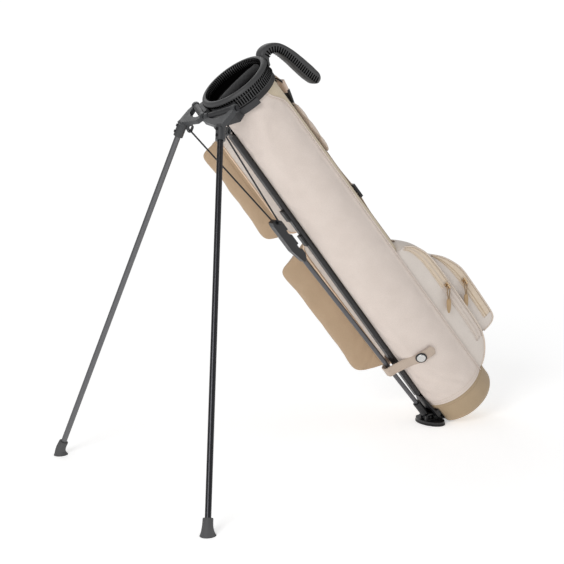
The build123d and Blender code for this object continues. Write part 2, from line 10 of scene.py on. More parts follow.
import bpy
import numpy as np
from mathutils import Matrix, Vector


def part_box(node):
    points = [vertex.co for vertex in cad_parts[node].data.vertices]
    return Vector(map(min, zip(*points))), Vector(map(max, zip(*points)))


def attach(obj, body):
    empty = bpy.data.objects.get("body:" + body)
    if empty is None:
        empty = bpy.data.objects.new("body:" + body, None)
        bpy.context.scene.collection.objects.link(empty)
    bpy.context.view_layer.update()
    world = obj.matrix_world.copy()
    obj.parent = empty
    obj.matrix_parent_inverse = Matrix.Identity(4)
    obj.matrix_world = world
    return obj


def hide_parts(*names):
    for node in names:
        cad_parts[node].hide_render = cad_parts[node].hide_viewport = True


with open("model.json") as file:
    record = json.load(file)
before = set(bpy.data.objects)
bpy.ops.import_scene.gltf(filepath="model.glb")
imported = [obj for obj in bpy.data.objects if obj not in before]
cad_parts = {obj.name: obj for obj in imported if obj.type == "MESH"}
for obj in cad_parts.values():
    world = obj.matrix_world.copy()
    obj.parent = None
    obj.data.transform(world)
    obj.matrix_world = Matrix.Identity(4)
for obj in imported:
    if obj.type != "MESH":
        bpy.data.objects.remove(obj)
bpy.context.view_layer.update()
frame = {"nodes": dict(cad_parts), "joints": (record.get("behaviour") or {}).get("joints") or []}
scene = bpy.context.scene

# ------------------------------------------------------------------ the bag's own frame
JOINTS = {joint["name"]: joint for joint in frame["joints"]}
UP = -np.array(JOINTS["push_rod_slide"]["axis"])
BACK = np.array([UP[2], 0.0, -UP[0]])
SHOE_HINGE = np.array([-62.0, 0.0, 20.0])
AXES = np.array([BACK, [0.0, 1.0, 0.0], UP]) / 1000
ORIGIN = np.array(JOINTS["shoe_rock"]["pos_m"]) - SHOE_HINGE @ AXES

TUBE_FOOT_RADIUS = 72.5
TUBE_TAPER = 0.01275
HEM_Z = 58.0
BAND_Z = 841.0
RING_Z = 852.0
RIM_Z = 880.0
RIM_RADIUS = 64.0
SKIN = 1.2                  # cloth of the outer panels
SEAM_ANGLE = 50.0           # back seams of the side panels, from the back
BODY = "bag"


def to_frame(points):
    """Points of the bag's own frame, in the shared frame."""
    return np.asarray(points, float) @ AXES + ORIGIN


def to_bag(points):
    """Points of the shared frame, in the bag's own frame."""
    return (np.asarray(points, float) - ORIGIN) @ np.linalg.inv(AXES)


def tube_radius(z):
    return TUBE_FOOT_RADIUS - TUBE_TAPER * np.asarray(z, float)


def round_tube(angle, z, proud=0.0):
    """Point on the tube, its angle in degrees from the back, positive round the far side."""
    angle, z = np.broadcast_arrays(np.radians(angle), np.asarray(z, float))
    reach = tube_radius(z) + proud
    return np.stack([reach * np.cos(angle), reach * np.sin(angle), z], axis=-1)


def smooth_step(x):
    x = np.clip(x, 0, 1)
    return x * x * (3 - 2 * x)


# ------------------------------------------------------------------ finishes
class Finish:
    """A material being put together: nodes by type, with their inputs by name."""

    def __init__(self, name):
        self.material = bpy.data.materials.new(name)
        self.material.use_nodes = True
        self.tree = self.material.node_tree
        self.shader = self.tree.nodes["Principled BSDF"]

    def add(self, kind, inputs=None, **settings):
        node = self.tree.nodes.new(kind)
        for key, value in settings.items():
            setattr(node, key, value)
        for key, value in (inputs or {}).items():
            self.give(node.inputs[key], value)
        return node

    def give(self, socket, value):
        if isinstance(value, bpy.types.NodeSocket):
            self.tree.links.new(value, socket)
        else:
            socket.default_value = value

    def math(self, operation, *values):
        node = self.add("ShaderNodeMath", dict(enumerate(values)), operation=operation)
        return node.outputs[0]

    def shade(self, **sockets):
        for key, value in sockets.items():
            self.give(self.shader.inputs[key.replace("_", " ")], value)

    def noise(self, where, scale, detail=3.0):
        inputs = {"Vector": where, "Scale": scale, "Detail": detail}
        return self.add("ShaderNodeTexNoise", inputs).outputs["Fac"]

    def ramp(self, amount, *stops):
        node = self.add("ShaderNodeValToRGB", {"Fac": amount})
        ends = node.color_ramp.elements
        while len(ends) < len(stops):
            ends.new(0.5)
        for end, (place, colour) in zip(ends, stops):
            end.position = place
            end.color = colour
        return node.outputs["Color"]

    def bump(self, height, strength, depth, normal=None):
        inputs = {"Height": height, "Strength": strength, "Distance": depth}
        if normal is not None:
            inputs["Normal"] = normal
        return self.add("ShaderNodeBump", inputs).outputs["Normal"]


def colour(red, green, blue):
    """Linear colour from screen values of 0 to 255."""
    return (*[((c / 255 + 0.055) / 1.055) ** 2.4 if c > 10 else c / 255 / 12.92
              for c in (red, green, blue)], 1.0)


def tinted(shade, gain):
    return (*[min(1.0, c * gain) for c in shade[:3]], 1.0)


def woven(name, shade, thread=0.55, depth=0.00012, sheen=0.15, rough=0.82, mottle=0.07, shine=0.4,
          rumple=0.4):
    """Plain-weave cloth: warp and weft on the piece's own cloth map, in metres, with slubs and mottling."""
    f = Finish(name)
    place = f.add("ShaderNodeUVMap", uv_map="Cloth").outputs["UV"]
    parts = f.add("ShaderNodeSeparateXYZ", {"Vector": place})
    turns = 2 * pi * 1000 / (2 * thread)
    warp = f.math("SINE", f.math("MULTIPLY", parts.outputs["X"], turns))
    weft = f.math("SINE", f.math("MULTIPLY", parts.outputs["Y"], turns))
    weave = f.math("MULTIPLY_ADD", f.math("MULTIPLY", warp, weft), 0.5, 0.5)
    slub = f.noise(place, 430.0, 3.0)
    cloud = f.noise(place, 22.0, 4.0)
    tone = f.math("ADD", f.math("MULTIPLY", weave, 0.45), f.math("MULTIPLY", slub, 0.55))
    grain = f.ramp(tone, (0.2, tinted(shade, 1 - 1.6 * mottle)), (0.8, tinted(shade, 1 + mottle)))
    worn = f.ramp(cloud, (0.3, (0.94, 0.935, 0.93, 1)), (0.7, (1, 1, 1, 1)))
    mixed = f.add("ShaderNodeMix", data_type="RGBA", blend_type="MULTIPLY")
    mixed.inputs["Factor"].default_value = 1.0
    f.give(mixed.inputs["A"], grain)
    f.give(mixed.inputs["B"], worn)
    height = f.math("ADD", weave, f.math("MULTIPLY", slub, 0.8))
    fold = f.bump(f.noise(place, 11.0, 3.0), rumple, 0.02)
    f.shade(Base_Color=mixed.outputs["Result"], Roughness=rough, Sheen_Weight=sheen, Sheen_Roughness=0.5,
            Specular_IOR_Level=shine, Normal=f.bump(height, 0.45, depth, fold))
    return f.material


def ribbed(name, shade, pitch=1.6, rough=0.78, sheen=0.2, across=True, dark=0.72):
    """Webbing or zip tape: ribs along or across the piece's cloth map."""
    f = Finish(name)
    place = f.add("ShaderNodeUVMap", uv_map="Cloth").outputs["UV"]
    parts = f.add("ShaderNodeSeparateXYZ", {"Vector": place})
    along = parts.outputs["Y" if across else "X"]
    other = parts.outputs["X" if across else "Y"]
    rib = f.math("SINE", f.math("MULTIPLY", along, 2 * pi * 1000 / pitch))
    herring = f.math("SINE", f.math("MULTIPLY", other, 2 * pi * 1000 / (pitch * 1.7)))
    height = f.math("MULTIPLY_ADD", f.math("ADD", rib, f.math("MULTIPLY", herring, 0.45)), 0.33, 0.5)
    fleck = f.noise(place, 1100.0, 2.0)
    tone = f.math("ADD", f.math("MULTIPLY", height, 0.6), f.math("MULTIPLY", fleck, 0.4))
    f.shade(Base_Color=f.ramp(tone, (0.15, tinted(shade, dark)), (0.75, tinted(shade, 1.06))),
            Roughness=rough, Sheen_Weight=sheen, Normal=f.bump(height, 0.6, 0.0003))
    return f.material


SOFT_EDGE = 0.0005          # rounding of moulded edges, in metres


def moulded(name, shade, rough=0.42, grain=2600.0, depth=0.00004, shine=0.5):
    """Moulded plastic or rubber: fine grain, slightly uneven gloss and softened edges."""
    f = Finish(name)
    place = f.add("ShaderNodeTexCoord").outputs["Object"]
    fine = f.noise(place, grain, 3.0)
    broad = f.noise(place, 55.0, 4.0)
    gloss = f.add("ShaderNodeMapRange", {"Value": broad, "From Min": 0.3, "From Max": 0.7,
                                         "To Min": rough - 0.06, "To Max": rough + 0.09}).outputs["Result"]
    soft = f.add("ShaderNodeBevel", {"Radius": SOFT_EDGE}, samples=4).outputs["Normal"]
    f.shade(Base_Color=f.ramp(broad, (0.3, tinted(shade, 0.88)), (0.75, tinted(shade, 1.12))),
            Roughness=gloss, Specular_IOR_Level=shine, Normal=f.bump(fine, 0.5, depth, soft))
    return f.material


def drawn_metal(name, shade, rough, spread=0.1, metal=1.0):
    """Drawn or plated metal: fine streaks along the bag's length and a slightly uneven gloss."""
    f = Finish(name)
    place = f.add("ShaderNodeTexCoord").outputs["Object"]
    streaks = f.add("ShaderNodeMapping", {"Vector": place, "Scale": (900, 900, 12)}).outputs["Vector"]
    line = f.noise(streaks, 1.0, 2.0)
    gloss = f.add("ShaderNodeMapRange", {"Value": line, "From Min": 0.3, "From Max": 0.7,
                                         "To Min": rough - spread / 2, "To Max": rough + spread / 2})
    f.shade(Base_Color=f.ramp(line, (0.3, tinted(shade, 0.9)), (0.7, tinted(shade, 1.1))), Metallic=metal,
            Roughness=gloss.outputs["Result"], Normal=f.bump(line, 0.15, 0.00002))
    return f.material


CREAM = colour(226, 213, 204)
TAN = colour(186, 160, 131)
CREAM_CLOTH = woven("Cream canvas", CREAM, rough=0.7, sheen=0.12)
CREAM_POCKET = woven("Cream pocket canvas", colour(222, 213, 205), rough=0.75)
BACK_CLOTH = woven("Sand gusset canvas", colour(224, 208, 182))
TAN_CLOTH = woven("Tan canvas", TAN, thread=0.6)
BOOT_CLOTH = woven("Tan coated base cloth", colour(178, 156, 127), thread=0.8, rough=0.6, sheen=0.05)
# The lining's own dark colour, made darker still as painted shade for the inside of the tube.
LINING_AND_SHADE = woven("Dark lining and painted shade", colour(12, 12, 12), sheen=0.0, shine=0.05)
MESH_CLOTH = woven("Black spacer mesh", colour(66, 66, 67), thread=1.8, depth=0.0012, rough=0.75,
                   sheen=0.05, mottle=0.5, shine=0.2, rumple=0.1)
PAD_CLOTH = woven("Pad canvas", colour(214, 200, 188), thread=0.7)
ZIP_BAND = ribbed("Zip band", colour(224, 206, 184), pitch=1.1, dark=0.8)
ZIP_CREAM = ribbed("Cream zip tape", colour(214, 202, 192), pitch=1.1, dark=0.9)
ZIP_TEETH = moulded("Zip coil", colour(206, 184, 152), rough=0.45)
PIPING = woven("Cream piping", colour(222, 208, 194), thread=0.4, rough=0.6)
PEACH_PIPING = woven("Peach piping", colour(238, 212, 186), thread=0.4, rough=0.6)
WEBBING = ribbed("Tan webbing", colour(196, 178, 162), pitch=1.4)
PEACH_WEBBING = ribbed("Peach webbing", colour(222, 200, 184), pitch=1.4, dark=0.85)
THREAD = woven("Cream thread", colour(205, 190, 172), thread=0.25)
TAN_THREAD = woven("Tan thread", colour(160, 136, 108), thread=0.25)
COLLAR = moulded("Collar plastic", colour(62, 62, 63), rough=0.48)
# Painted shade: near-black bars laid in the gaps between ribs and in the handle's openings, where there is
# only shadow.
SLOT_SHADE = moulded("Slot shadow", colour(5, 5, 5), rough=0.85, shine=0.03)
BAND_PLASTIC = moulded("Collar band plastic", colour(34, 31, 32), rough=0.5)
KNUCKLE = moulded("Knuckle nylon", colour(60, 61, 63), rough=0.4)
BRACKET = moulded("Bracket nylon", colour(44, 44, 46), rough=0.42)
NYLON = moulded("Black nylon", colour(26, 26, 28), rough=0.36)
JOINER = moulded("Joiner nylon", colour(34, 34, 37), rough=0.34)
RAIL = moulded("Rail plastic", colour(30, 28, 29), rough=0.3)
RUBBER = moulded("Black rubber", colour(22, 22, 23), rough=0.6, grain=1500.0, depth=0.0001)
LEG_METAL = drawn_metal("Dark anodised tube", colour(58, 58, 61), 0.3, metal=0.9)
# Painted light: the far leg is the same dark anodised tube as the near one, given a lighter grey as a lit
# copy of its finish.
FAR_LEG_PAINTED_LIGHT = drawn_metal("Far leg tube with painted light", colour(108, 108, 110), 0.36, metal=0.8)
ROD_METAL = drawn_metal("Push rod tube", colour(98, 98, 101), 0.36, metal=0.85)
STEEL = drawn_metal("Blackened steel", colour(58, 58, 60), 0.35)
PLATED = drawn_metal("Plated stud", colour(206, 206, 204), 0.2)
ZIP_METAL = drawn_metal("Sand plated metal", colour(208, 182, 148), 0.3)
FOOT_RUBBER = moulded("Grey rubber", colour(80, 80, 81), rough=0.62, grain=1500.0, depth=0.0001)
FIBRE = moulded("Fibre rod", colour(214, 210, 198), rough=0.5)
PULL_RUBBER = moulded("Tan pull", colour(176, 148, 112), rough=0.55)


# ------------------------------------------------------------------ making pieces
def piece(name, points, faces, finish, uv=None, choice=None):
    """Mesh object in the shared frame from points of the bag's frame."""
    mesh = bpy.data.meshes.new(name)
    mesh.from_pydata(to_frame(points).tolist(), [], faces)
    corner = np.zeros(len(mesh.loops), int)
    mesh.loops.foreach_get("vertex_index", corner)
    if uv is None:
        uv = np.asarray(points)[:, :2] / 1000
    layer = mesh.uv_layers.new(name="Cloth")
    layer.data.foreach_set("uv", np.asarray(uv, float)[corner].ravel())
    for one in finish if isinstance(finish, (list, tuple)) else [finish]:
        mesh.materials.append(one)
    if choice is not None:
        mesh.polygons.foreach_set("material_index", np.asarray(choice, int))
    mesh.polygons.foreach_set("use_smooth", np.ones(len(mesh.polygons), bool))
    obj = bpy.data.objects.new(name, mesh)
    scene.collection.objects.link(obj)
    return obj


def grid_faces(rows, cols, round_cols=False):
    i, j = np.meshgrid(np.arange(rows - 1), np.arange(cols if round_cols else cols - 1), indexing="ij")
    a, b = i * cols + j, i * cols + (j + 1) % cols
    return np.stack([a, b, b + cols, a + cols], axis=-1).reshape(-1, 4)


def lengths(points, axis):
    """Running length in metres along one way of a grid, at its middle."""
    steps = np.linalg.norm(np.diff(points, axis=axis), axis=-1)
    middle = np.take(steps, steps.shape[1 - axis] // 2, axis=1 - axis)
    return np.concatenate([[0], np.cumsum(middle)]) / 1000


def grid(name, points, finish, inside, round_cols=False, choice=None, capped=False):
    """Cloth from rows and columns of points, its faces turned away from the points inside it."""
    points = np.asarray(points, float)
    rows, cols = points.shape[:2]
    u, v = np.meshgrid(lengths(points, 1), lengths(points, 0))
    faces = grid_faces(rows, cols, round_cols)
    flat = points.reshape(-1, 3)
    across = np.cross(flat[faces[:, 2]] - flat[faces[:, 0]], flat[faces[:, 3]] - flat[faces[:, 1]])
    outward = flat[faces].mean(axis=1) - np.broadcast_to(inside, points.shape).reshape(-1, 3)[faces[:, 0]]
    turned_over = (across * outward).sum() < 0
    faces = (faces[:, ::-1] if turned_over else faces).tolist()
    if capped:
        faces.append(list(range(cols)) if turned_over else list(range(cols))[::-1])
    obj = piece(name, flat, faces, finish, np.stack([u, v], -1).reshape(-1, 2), choice)
    obj["rows"], obj["cols"] = rows, cols
    return obj


def grid_points(obj):
    """Present points of a grid piece, as rows and columns, in the bag's frame."""
    flat = np.zeros(len(obj.data.vertices) * 3)
    obj.data.vertices.foreach_get("co", flat)
    return to_bag(flat.reshape(-1, 3)).reshape(obj["rows"], obj["cols"], 3)


def axis_points(points):
    """The nearest points on the tube's middle line."""
    return np.asarray(points) * [0, 0, 1]


def finish_off(obj, thick=0.0, levels=1, offset=-1.0):
    """Give a sheet its thickness and smooth it."""
    if thick:
        solid = obj.modifiers.new("thickness", "SOLIDIFY")
        solid.thickness, solid.offset = thick / 1000, offset
    if levels:
        smooth = obj.modifiers.new("smooth", "SUBSURF")
        smooth.levels = smooth.render_levels = levels
    return obj


def settle(obj, held, pressure=0.0, gravity=0.0, slack=0.0, cap=4.0, steps=16, stiff=12.0):
    """Let the cloth settle with its seams held: no point moves further than cap millimetres."""
    count = len(obj.data.vertices)
    start = np.zeros(count * 3)
    obj.data.vertices.foreach_get("co", start)
    seam = obj.vertex_groups.new(name="seam")
    for i, weight in enumerate(np.asarray(held, float).ravel()):
        if weight > 0:
            seam.add([i], float(weight), "REPLACE")
    cloth = obj.modifiers.new("cloth", "CLOTH")
    cloth.settings.quality = 5
    cloth.settings.mass = 0.15
    cloth.settings.tension_stiffness = cloth.settings.compression_stiffness = stiff
    cloth.settings.shear_stiffness = stiff / 3
    cloth.settings.bending_stiffness = 0.2
    cloth.settings.vertex_group_mass = "seam"
    cloth.settings.shrink_min = -slack
    cloth.settings.effector_weights.gravity = gravity
    cloth.settings.use_pressure = pressure != 0
    cloth.settings.uniform_pressure_force = pressure
    cloth.collision_settings.use_collision = False
    for step in range(1, steps + 1):
        scene.frame_set(step)
    settled = obj.evaluated_get(bpy.context.evaluated_depsgraph_get()).to_mesh()
    moved = np.zeros(count * 3)
    settled.vertices.foreach_get("co", moved)
    shift = (moved - start).reshape(-1, 3)
    far = np.linalg.norm(shift, axis=1, keepdims=True)
    limit = cap / 1000
    shift *= limit * np.tanh(far / limit) / np.maximum(far, 1e-9)
    obj.modifiers.remove(cloth)
    scene.frame_set(1)
    obj.data.vertices.foreach_set("co", start + shift.ravel())
    obj.data.update()
    return obj


def unit(vectors):
    return vectors / np.maximum(np.linalg.norm(vectors, axis=-1, keepdims=True), 1e-9)


def sweep(name, line, section, finish, outs=None, ring=False, scale=None):
    """Section (side, out) carried along a line; outs are its outward directions at the line's points."""
    line = np.asarray(line, float)
    count = len(line)
    if ring:
        ahead = unit(np.roll(line, -1, 0) - np.roll(line, 1, 0))
    else:
        ahead = unit(np.gradient(line, axis=0))
    if outs is None:
        outs = np.broadcast_to([0.0, -1.0, 0.03], line.shape)
    outs = np.asarray(outs, float)
    outs = unit(outs - (outs * ahead).sum(1, keepdims=True) * ahead)
    side = np.cross(ahead, outs)
    section = np.asarray(section, float)
    sizes = np.ones((count, 2)) if scale is None else np.asarray(scale, float)
    points = (line[:, None] + section[None, :, :1] * sizes[:, None, :1] * side[:, None]
              + section[None, :, 1:] * sizes[:, None, 1:] * outs[:, None])
    n = len(section)
    around = np.concatenate([[0], np.cumsum(np.linalg.norm(np.diff(section, axis=0), axis=1))]) / 1000
    run = np.concatenate([[0], np.cumsum(np.linalg.norm(np.diff(line, axis=0), axis=1))]) / 1000
    uv = np.stack(np.meshgrid(around, run), -1).reshape(-1, 2)
    flat = points.reshape(-1, 3)
    faces = grid_faces(count, n, True)
    if ring:
        first, after = np.arange(n), (np.arange(n) + 1) % n
        last = (count - 1) * n
        close = np.stack([last + first, last + after, after, first], -1)
        faces = np.concatenate([faces, close])
    faces = faces.tolist()
    if not ring:
        faces += [list(range(n))[::-1], [(count - 1) * n + k for k in range(n)]]
    centre = line.repeat(n, 0)
    a, b, c, d = (np.array([f[k] for f in faces if len(f) == 4]) for k in range(4))
    across = np.cross(flat[c] - flat[a], flat[d] - flat[b])
    if (across * (flat[a] - centre[a])).sum() < 0:
        faces = [f[::-1] for f in faces]
    return piece(name, flat, faces, finish, uv)


def circle(radius, sides=10):
    turn = np.arange(sides) * 2 * pi / sides
    return np.stack([radius * np.cos(turn), radius * np.sin(turn)], 1)


def rounded(half_side, half_out, power=4.0, sides=20):
    """Flat bar with rounded edges."""
    turn = np.arange(sides) * 2 * pi / sides
    c, s = np.cos(turn), np.sin(turn)
    return np.stack([half_side * np.sign(c) * np.abs(c) ** (2 / power),
                     half_out * np.sign(s) * np.abs(s) ** (2 / power)], 1)


def resampled(line, count, ring=False):
    """The line again with evenly spaced points, rounded at its corners by a Catmull-Rom curve."""
    line = np.asarray(line, float)
    if ring:
        padded = np.concatenate([line[-1:], line, line[:2]])
    else:
        padded = np.concatenate([2 * line[:1] - line[1:2], line, 2 * line[-1:] - line[-2:-1]])
    t = np.linspace(0, 1, 13)[:-1, None]
    bits = []
    for k in range(len(padded) - 3):
        p0, p1, p2, p3 = padded[k:k + 4]
        bits.append(0.5 * (2 * p1 + (p2 - p0) * t + (2 * p0 - 5 * p1 + 4 * p2 - p3) * t ** 2
                           + (3 * p1 - p0 - 3 * p2 + p3) * t ** 3))
    dense = np.concatenate(bits + [padded[-2:-1]])
    run = np.concatenate([[0], np.cumsum(np.linalg.norm(np.diff(dense, axis=0), axis=1))])
    at = np.linspace(0, run[-1], count + 1)[:-1] if ring else np.linspace(0, run[-1], count)
    return np.stack([np.interp(at, run, dense[:, k]) for k in range(dense.shape[1])], 1)


def turned(name, profile, middle, out, finish, sides=32):
    """Round piece: profile (radius, height) turned about an axis through middle along out."""
    out = unit(np.asarray(out, float))
    one = unit(np.cross(out, [0.3, 0.2, 0.93]))
    two = np.cross(out, one)
    turn = np.arange(sides) * 2 * pi / sides
    spoke = np.cos(turn)[:, None] * one + np.sin(turn)[:, None] * two
    profile = np.asarray(profile, float)
    points = np.asarray(middle) + profile[:, None, :1] * spoke + profile[:, None, 1:] * out
    rows = len(profile)
    faces = grid_faces(rows, sides, True)
    flat = points.reshape(-1, 3)
    across = np.cross(flat[faces[:, 2]] - flat[faces[:, 0]], flat[faces[:, 3]] - flat[faces[:, 1]])
    spokes = np.broadcast_to(spoke, points.shape).reshape(-1, 3)[faces[:, 0]]
    ends = [list(range(sides)), [(rows - 1) * sides + k for k in range(sides)][::-1]]
    if (across * spokes).sum() >= 0:
        ends = [end[::-1] for end in ends]
    else:
        faces = faces[:, ::-1]
    return piece(name, flat, faces.tolist() + ends, finish)


# ------------------------------------------------------------------ what repeats
def repeat_tree(shape):
    """Small copies set along a path, one every Step, turned to the path and its outward direction."""
    tree = bpy.data.node_groups.new("Repeat " + shape, "GeometryNodeTree")
    for label, kind in (("Path", "Geometry"), ("Step", "Float"), ("Size", "Vector"), ("Finish", "Material")):
        tree.interface.new_socket(label, in_out="INPUT", socket_type="NodeSocket" + kind)
    tree.interface.new_socket("Pieces", in_out="OUTPUT", socket_type="NodeSocketGeometry")
    new, join = tree.nodes.new, tree.links.new
    start, end = new("NodeGroupInput"), new("NodeGroupOutput")
    curve, spaced = new("GeometryNodeMeshToCurve"), new("GeometryNodeResampleCurve")
    spaced.mode = "LENGTH"
    outward = new("GeometryNodeInputNamedAttribute")
    outward.data_type = "FLOAT_VECTOR"
    outward.inputs["Name"].default_value = "out"
    turn = new("FunctionNodeAxesToRotation")
    turn.primary_axis, turn.secondary_axis = "X", "Z"
    ahead = new("GeometryNodeInputTangent")
    put, real, paint = (new("GeometryNode" + kind)
                        for kind in ("InstanceOnPoints", "RealizeInstances", "SetMaterial"))
    if shape == "bar":
        body = new("GeometryNodeMeshCube")
    else:
        body = new("GeometryNodeMeshUVSphere")
        body.inputs["Segments"].default_value, body.inputs["Rings"].default_value = 6, 4
        body.inputs["Radius"].default_value = 0.5
    join(start.outputs["Path"], curve.inputs["Mesh"])
    join(curve.outputs["Curve"], spaced.inputs["Curve"])
    join(start.outputs["Step"], spaced.inputs["Length"])
    join(spaced.outputs["Curve"], put.inputs["Points"])
    join(body.outputs["Mesh"], put.inputs["Instance"])
    join(ahead.outputs["Tangent"], turn.inputs["Primary Axis"])
    join(outward.outputs["Attribute"], turn.inputs["Secondary Axis"])
    join(turn.outputs["Rotation"], put.inputs["Rotation"])
    join(start.outputs["Size"], put.inputs["Scale"])
    join(put.outputs["Instances"], real.inputs["Geometry"])
    join(real.outputs["Geometry"], paint.inputs["Geometry"])
    join(start.outputs["Finish"], paint.inputs["Material"])
    join(paint.outputs["Geometry"], end.inputs["Pieces"])
    return tree


TREES = {shape: repeat_tree(shape) for shape in ("bar", "bead")}


def repeat(name, paths, step, size, finish, shape="bead"):
    """One plain mesh of small copies along each path, a pair of points and outward directions in mm."""
    points, edges, outs, first = [], [], [], 0
    for line, out in paths:
        points.append(to_frame(line))
        outs.append(unit(np.asarray(out, float) @ AXES))
        edges += [(first + k, first + k + 1) for k in range(len(line) - 1)]
        first += len(line)
    mesh = bpy.data.meshes.new(name)
    mesh.from_pydata(np.concatenate(points).tolist(), edges, [])
    out = mesh.attributes.new("out", "FLOAT_VECTOR", "POINT")
    out.data.foreach_set("vector", np.concatenate(outs).ravel())
    path = bpy.data.objects.new(name + "_path", mesh)
    scene.collection.objects.link(path)
    tree = TREES[shape]
    sockets = {item.name: item.identifier for item in tree.interface.items_tree if item.in_out == "INPUT"}
    modifier = path.modifiers.new("repeat", "NODES")
    modifier.node_group = tree
    modifier[sockets["Step"]] = step / 1000
    modifier[sockets["Size"]] = [v / 1000 for v in size]
    modifier[sockets["Finish"]] = finish
    made = bpy.data.meshes.new_from_object(path.evaluated_get(bpy.context.evaluated_depsgraph_get()))
    bpy.data.objects.remove(path)
    made.name = name
    made.polygons.foreach_set("use_smooth", np.full(len(made.polygons), shape == "bead"))
    obj = bpy.data.objects.new(name, made)
    scene.collection.objects.link(obj)
    return obj


STITCH = (3.0, 0.8, 0.6)    # length, width and height of one stitch
STITCH_STEP = 4.2


def surface_line(obj, row=None, col=None, lift=0.3, ends=(0.0, 1.0)):
    """A row or column of a grid piece, lifted off it, with the surface's outward directions."""
    points = grid_points(obj)
    normals = np.cross(np.gradient(points, axis=1), np.gradient(points, axis=0))
    first = list(obj.data.polygons[0].vertices)
    flat = points.reshape(-1, 3)
    face = np.cross(flat[first[2]] - flat[first[0]], flat[first[3]] - flat[first[1]])
    normals = unit(normals) * (1 if (face * normals[0, 0]).sum() > 0 else -1)

    def take(field):
        if row is not None:
            low = int(min(row, field.shape[0] - 2))
            return field[low] + (row - low) * (field[low + 1] - field[low])
        low = int(min(col, field.shape[1] - 2))
        return field[:, low] + (col - low) * (field[:, low + 1] - field[:, low])

    line, out = take(points), unit(take(normals))
    keep = slice(int(ends[0] * len(line)), max(2, int(ends[1] * len(line))))
    return line[keep] + lift * out[keep], out[keep]


# ------------------------------------------------------------------ CAD pieces that stay
CAD_FINISHES = {
    COLLAR: ["top_ring"],
    BAND_PLASTIC: ["collar_band"],
    NYLON: ["rod_end", "rail_clips", "base_bracket", "rocker_shoe", "base_plate"],
    BRACKET: ["leg_bracket"],
    KNUCKLE: ["near_knuckle", "far_knuckle"],
    JOINER: ["joiner"],
    RAIL: ["spine_rail", "strap_buckle"],
    LEG_METAL: ["near_leg_tube"],
    FAR_LEG_PAINTED_LIGHT: ["far_leg_tube"],
    ROD_METAL: ["push_rod"],
    STEEL: ["near_leg_pin", "far_leg_pin", "near_knuckle_screws", "far_knuckle_screws", "near_wire",
            "far_wire", "foot_hinge_pin", "strap_ring"],
    RUBBER: ["shoe_pad"],
    FIBRE: ["body_stays"],
    ZIP_METAL: ["back_inner_slider", "back_outer_slider", "far_upper_slider", "far_lower_slider"],
}


def dress_cad():
    for finish, names in CAD_FINISHES.items():
        for name in names:
            obj = frame["nodes"][name]
            if not obj.material_slots:
                obj.data.materials.append(None)
            for slot in obj.material_slots:
                slot.link = "OBJECT"
                slot.material = finish


# ------------------------------------------------------------------ the tube's cloth
PANEL_ROWS, PANEL_COLS = 110, 48
LINING_GAP = 3.2            # lining inside the tube's face


def back_seam(z):
    """Angle of the back seams, which curve forward under the collar."""
    return SEAM_ANGLE + 27 * smooth_step((z - 780) / 60) ** 1.4


def side_panel(side, label):
    """Side panel from the rail round to its back seam."""
    z = np.linspace(HEM_Z - 1, BAND_Z + 3, PANEL_ROWS)
    s = np.linspace(0, 1, PANEL_COLS)
    back = back_seam(z)
    angle = back[:, None] + (176.0 - back[:, None]) * s
    full = np.sin(pi * s)[None, :] ** 0.5 * np.sin(pi * np.linspace(0, 1, PANEL_ROWS))[:, None] ** 0.4
    folds = (1.0 * np.exp(-((z - 745) / 64) ** 2)[:, None] * (1 + np.sin(z[:, None] / 13 + angle / 11))
             + 0.7 * np.exp(-((z - 112) / 50) ** 2)[:, None] * (1 + np.sin(z[:, None] / 9 - angle / 9)))
    points = round_tube(side * angle, z[:, None], SKIN + full * (1.0 + folds))
    panel = grid(label + "_side_cloth", points, CREAM_CLOTH, axis_points(points))
    held = np.ones(points.shape[:2])
    held[3:-3, 3:-3] = 0
    settle(panel, held, pressure=0.6, gravity=0.25, slack=0.012, cap=3.2)
    return panel


def tube_cloth():
    """Side panels, back cloth and a dark lining, darkened further as painted shade inside the tube, with the
    seams' piping and stitches.
    """
    near, far = side_panel(-1, "near"), side_panel(1, "far")
    z = np.linspace(HEM_Z - 1, BAND_Z + 3, PANEL_ROWS)[:, None]
    across = np.linspace(-1, 1, 30)[None, :]
    back = round_tube(across * (back_seam(z) + 3.5), z, 0.4 - 0.9 * np.abs(across) ** 3)
    back = grid("back_cloth", back, BACK_CLOTH, axis_points(back))
    inner = round_tube(np.linspace(-180, 180, 65)[None, :-1],
                       np.linspace(14, BAND_Z + 12, 12)[:, None], -LINING_GAP)
    lining = grid("lining", inner, LINING_AND_SHADE, axis_points(inner), round_cols=True)
    for panel, label in ((near, "near"), (far, "far")):
        line, out = surface_line(panel, col=0.6, lift=0.9)
        cord = sweep(label + "_seam_piping", line, circle(1.0), CREAM_CLOTH, outs=out)
        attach(cord, BODY)
    rows = [surface_line(panel, col=2.4, lift=0.45) for panel in (near, far)]
    rows += [surface_line(panel, row=row, lift=0.45) for panel in (near, far) for row in (1.1, 2.0)]
    stitches = repeat("tube_stitches", rows, STITCH_STEP, STITCH, THREAD)
    for panel in (near, far, back):
        finish_off(panel, SKIN)
    finish_off(lining, 0.5, 0)
    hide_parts("near_side_panel")
    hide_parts("far_side_panel")
    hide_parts("back_panel")
    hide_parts("front_panel")
    for obj in (near, far, back, lining, stitches):
        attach(obj, BODY)


# ------------------------------------------------------------------ base
BOOT_EDGE = 21.0
BOOT_RADIUS = 73.6
NOTCH = {"x": (-95.0, -53.5), "half": 25.0, "top": 51.0}


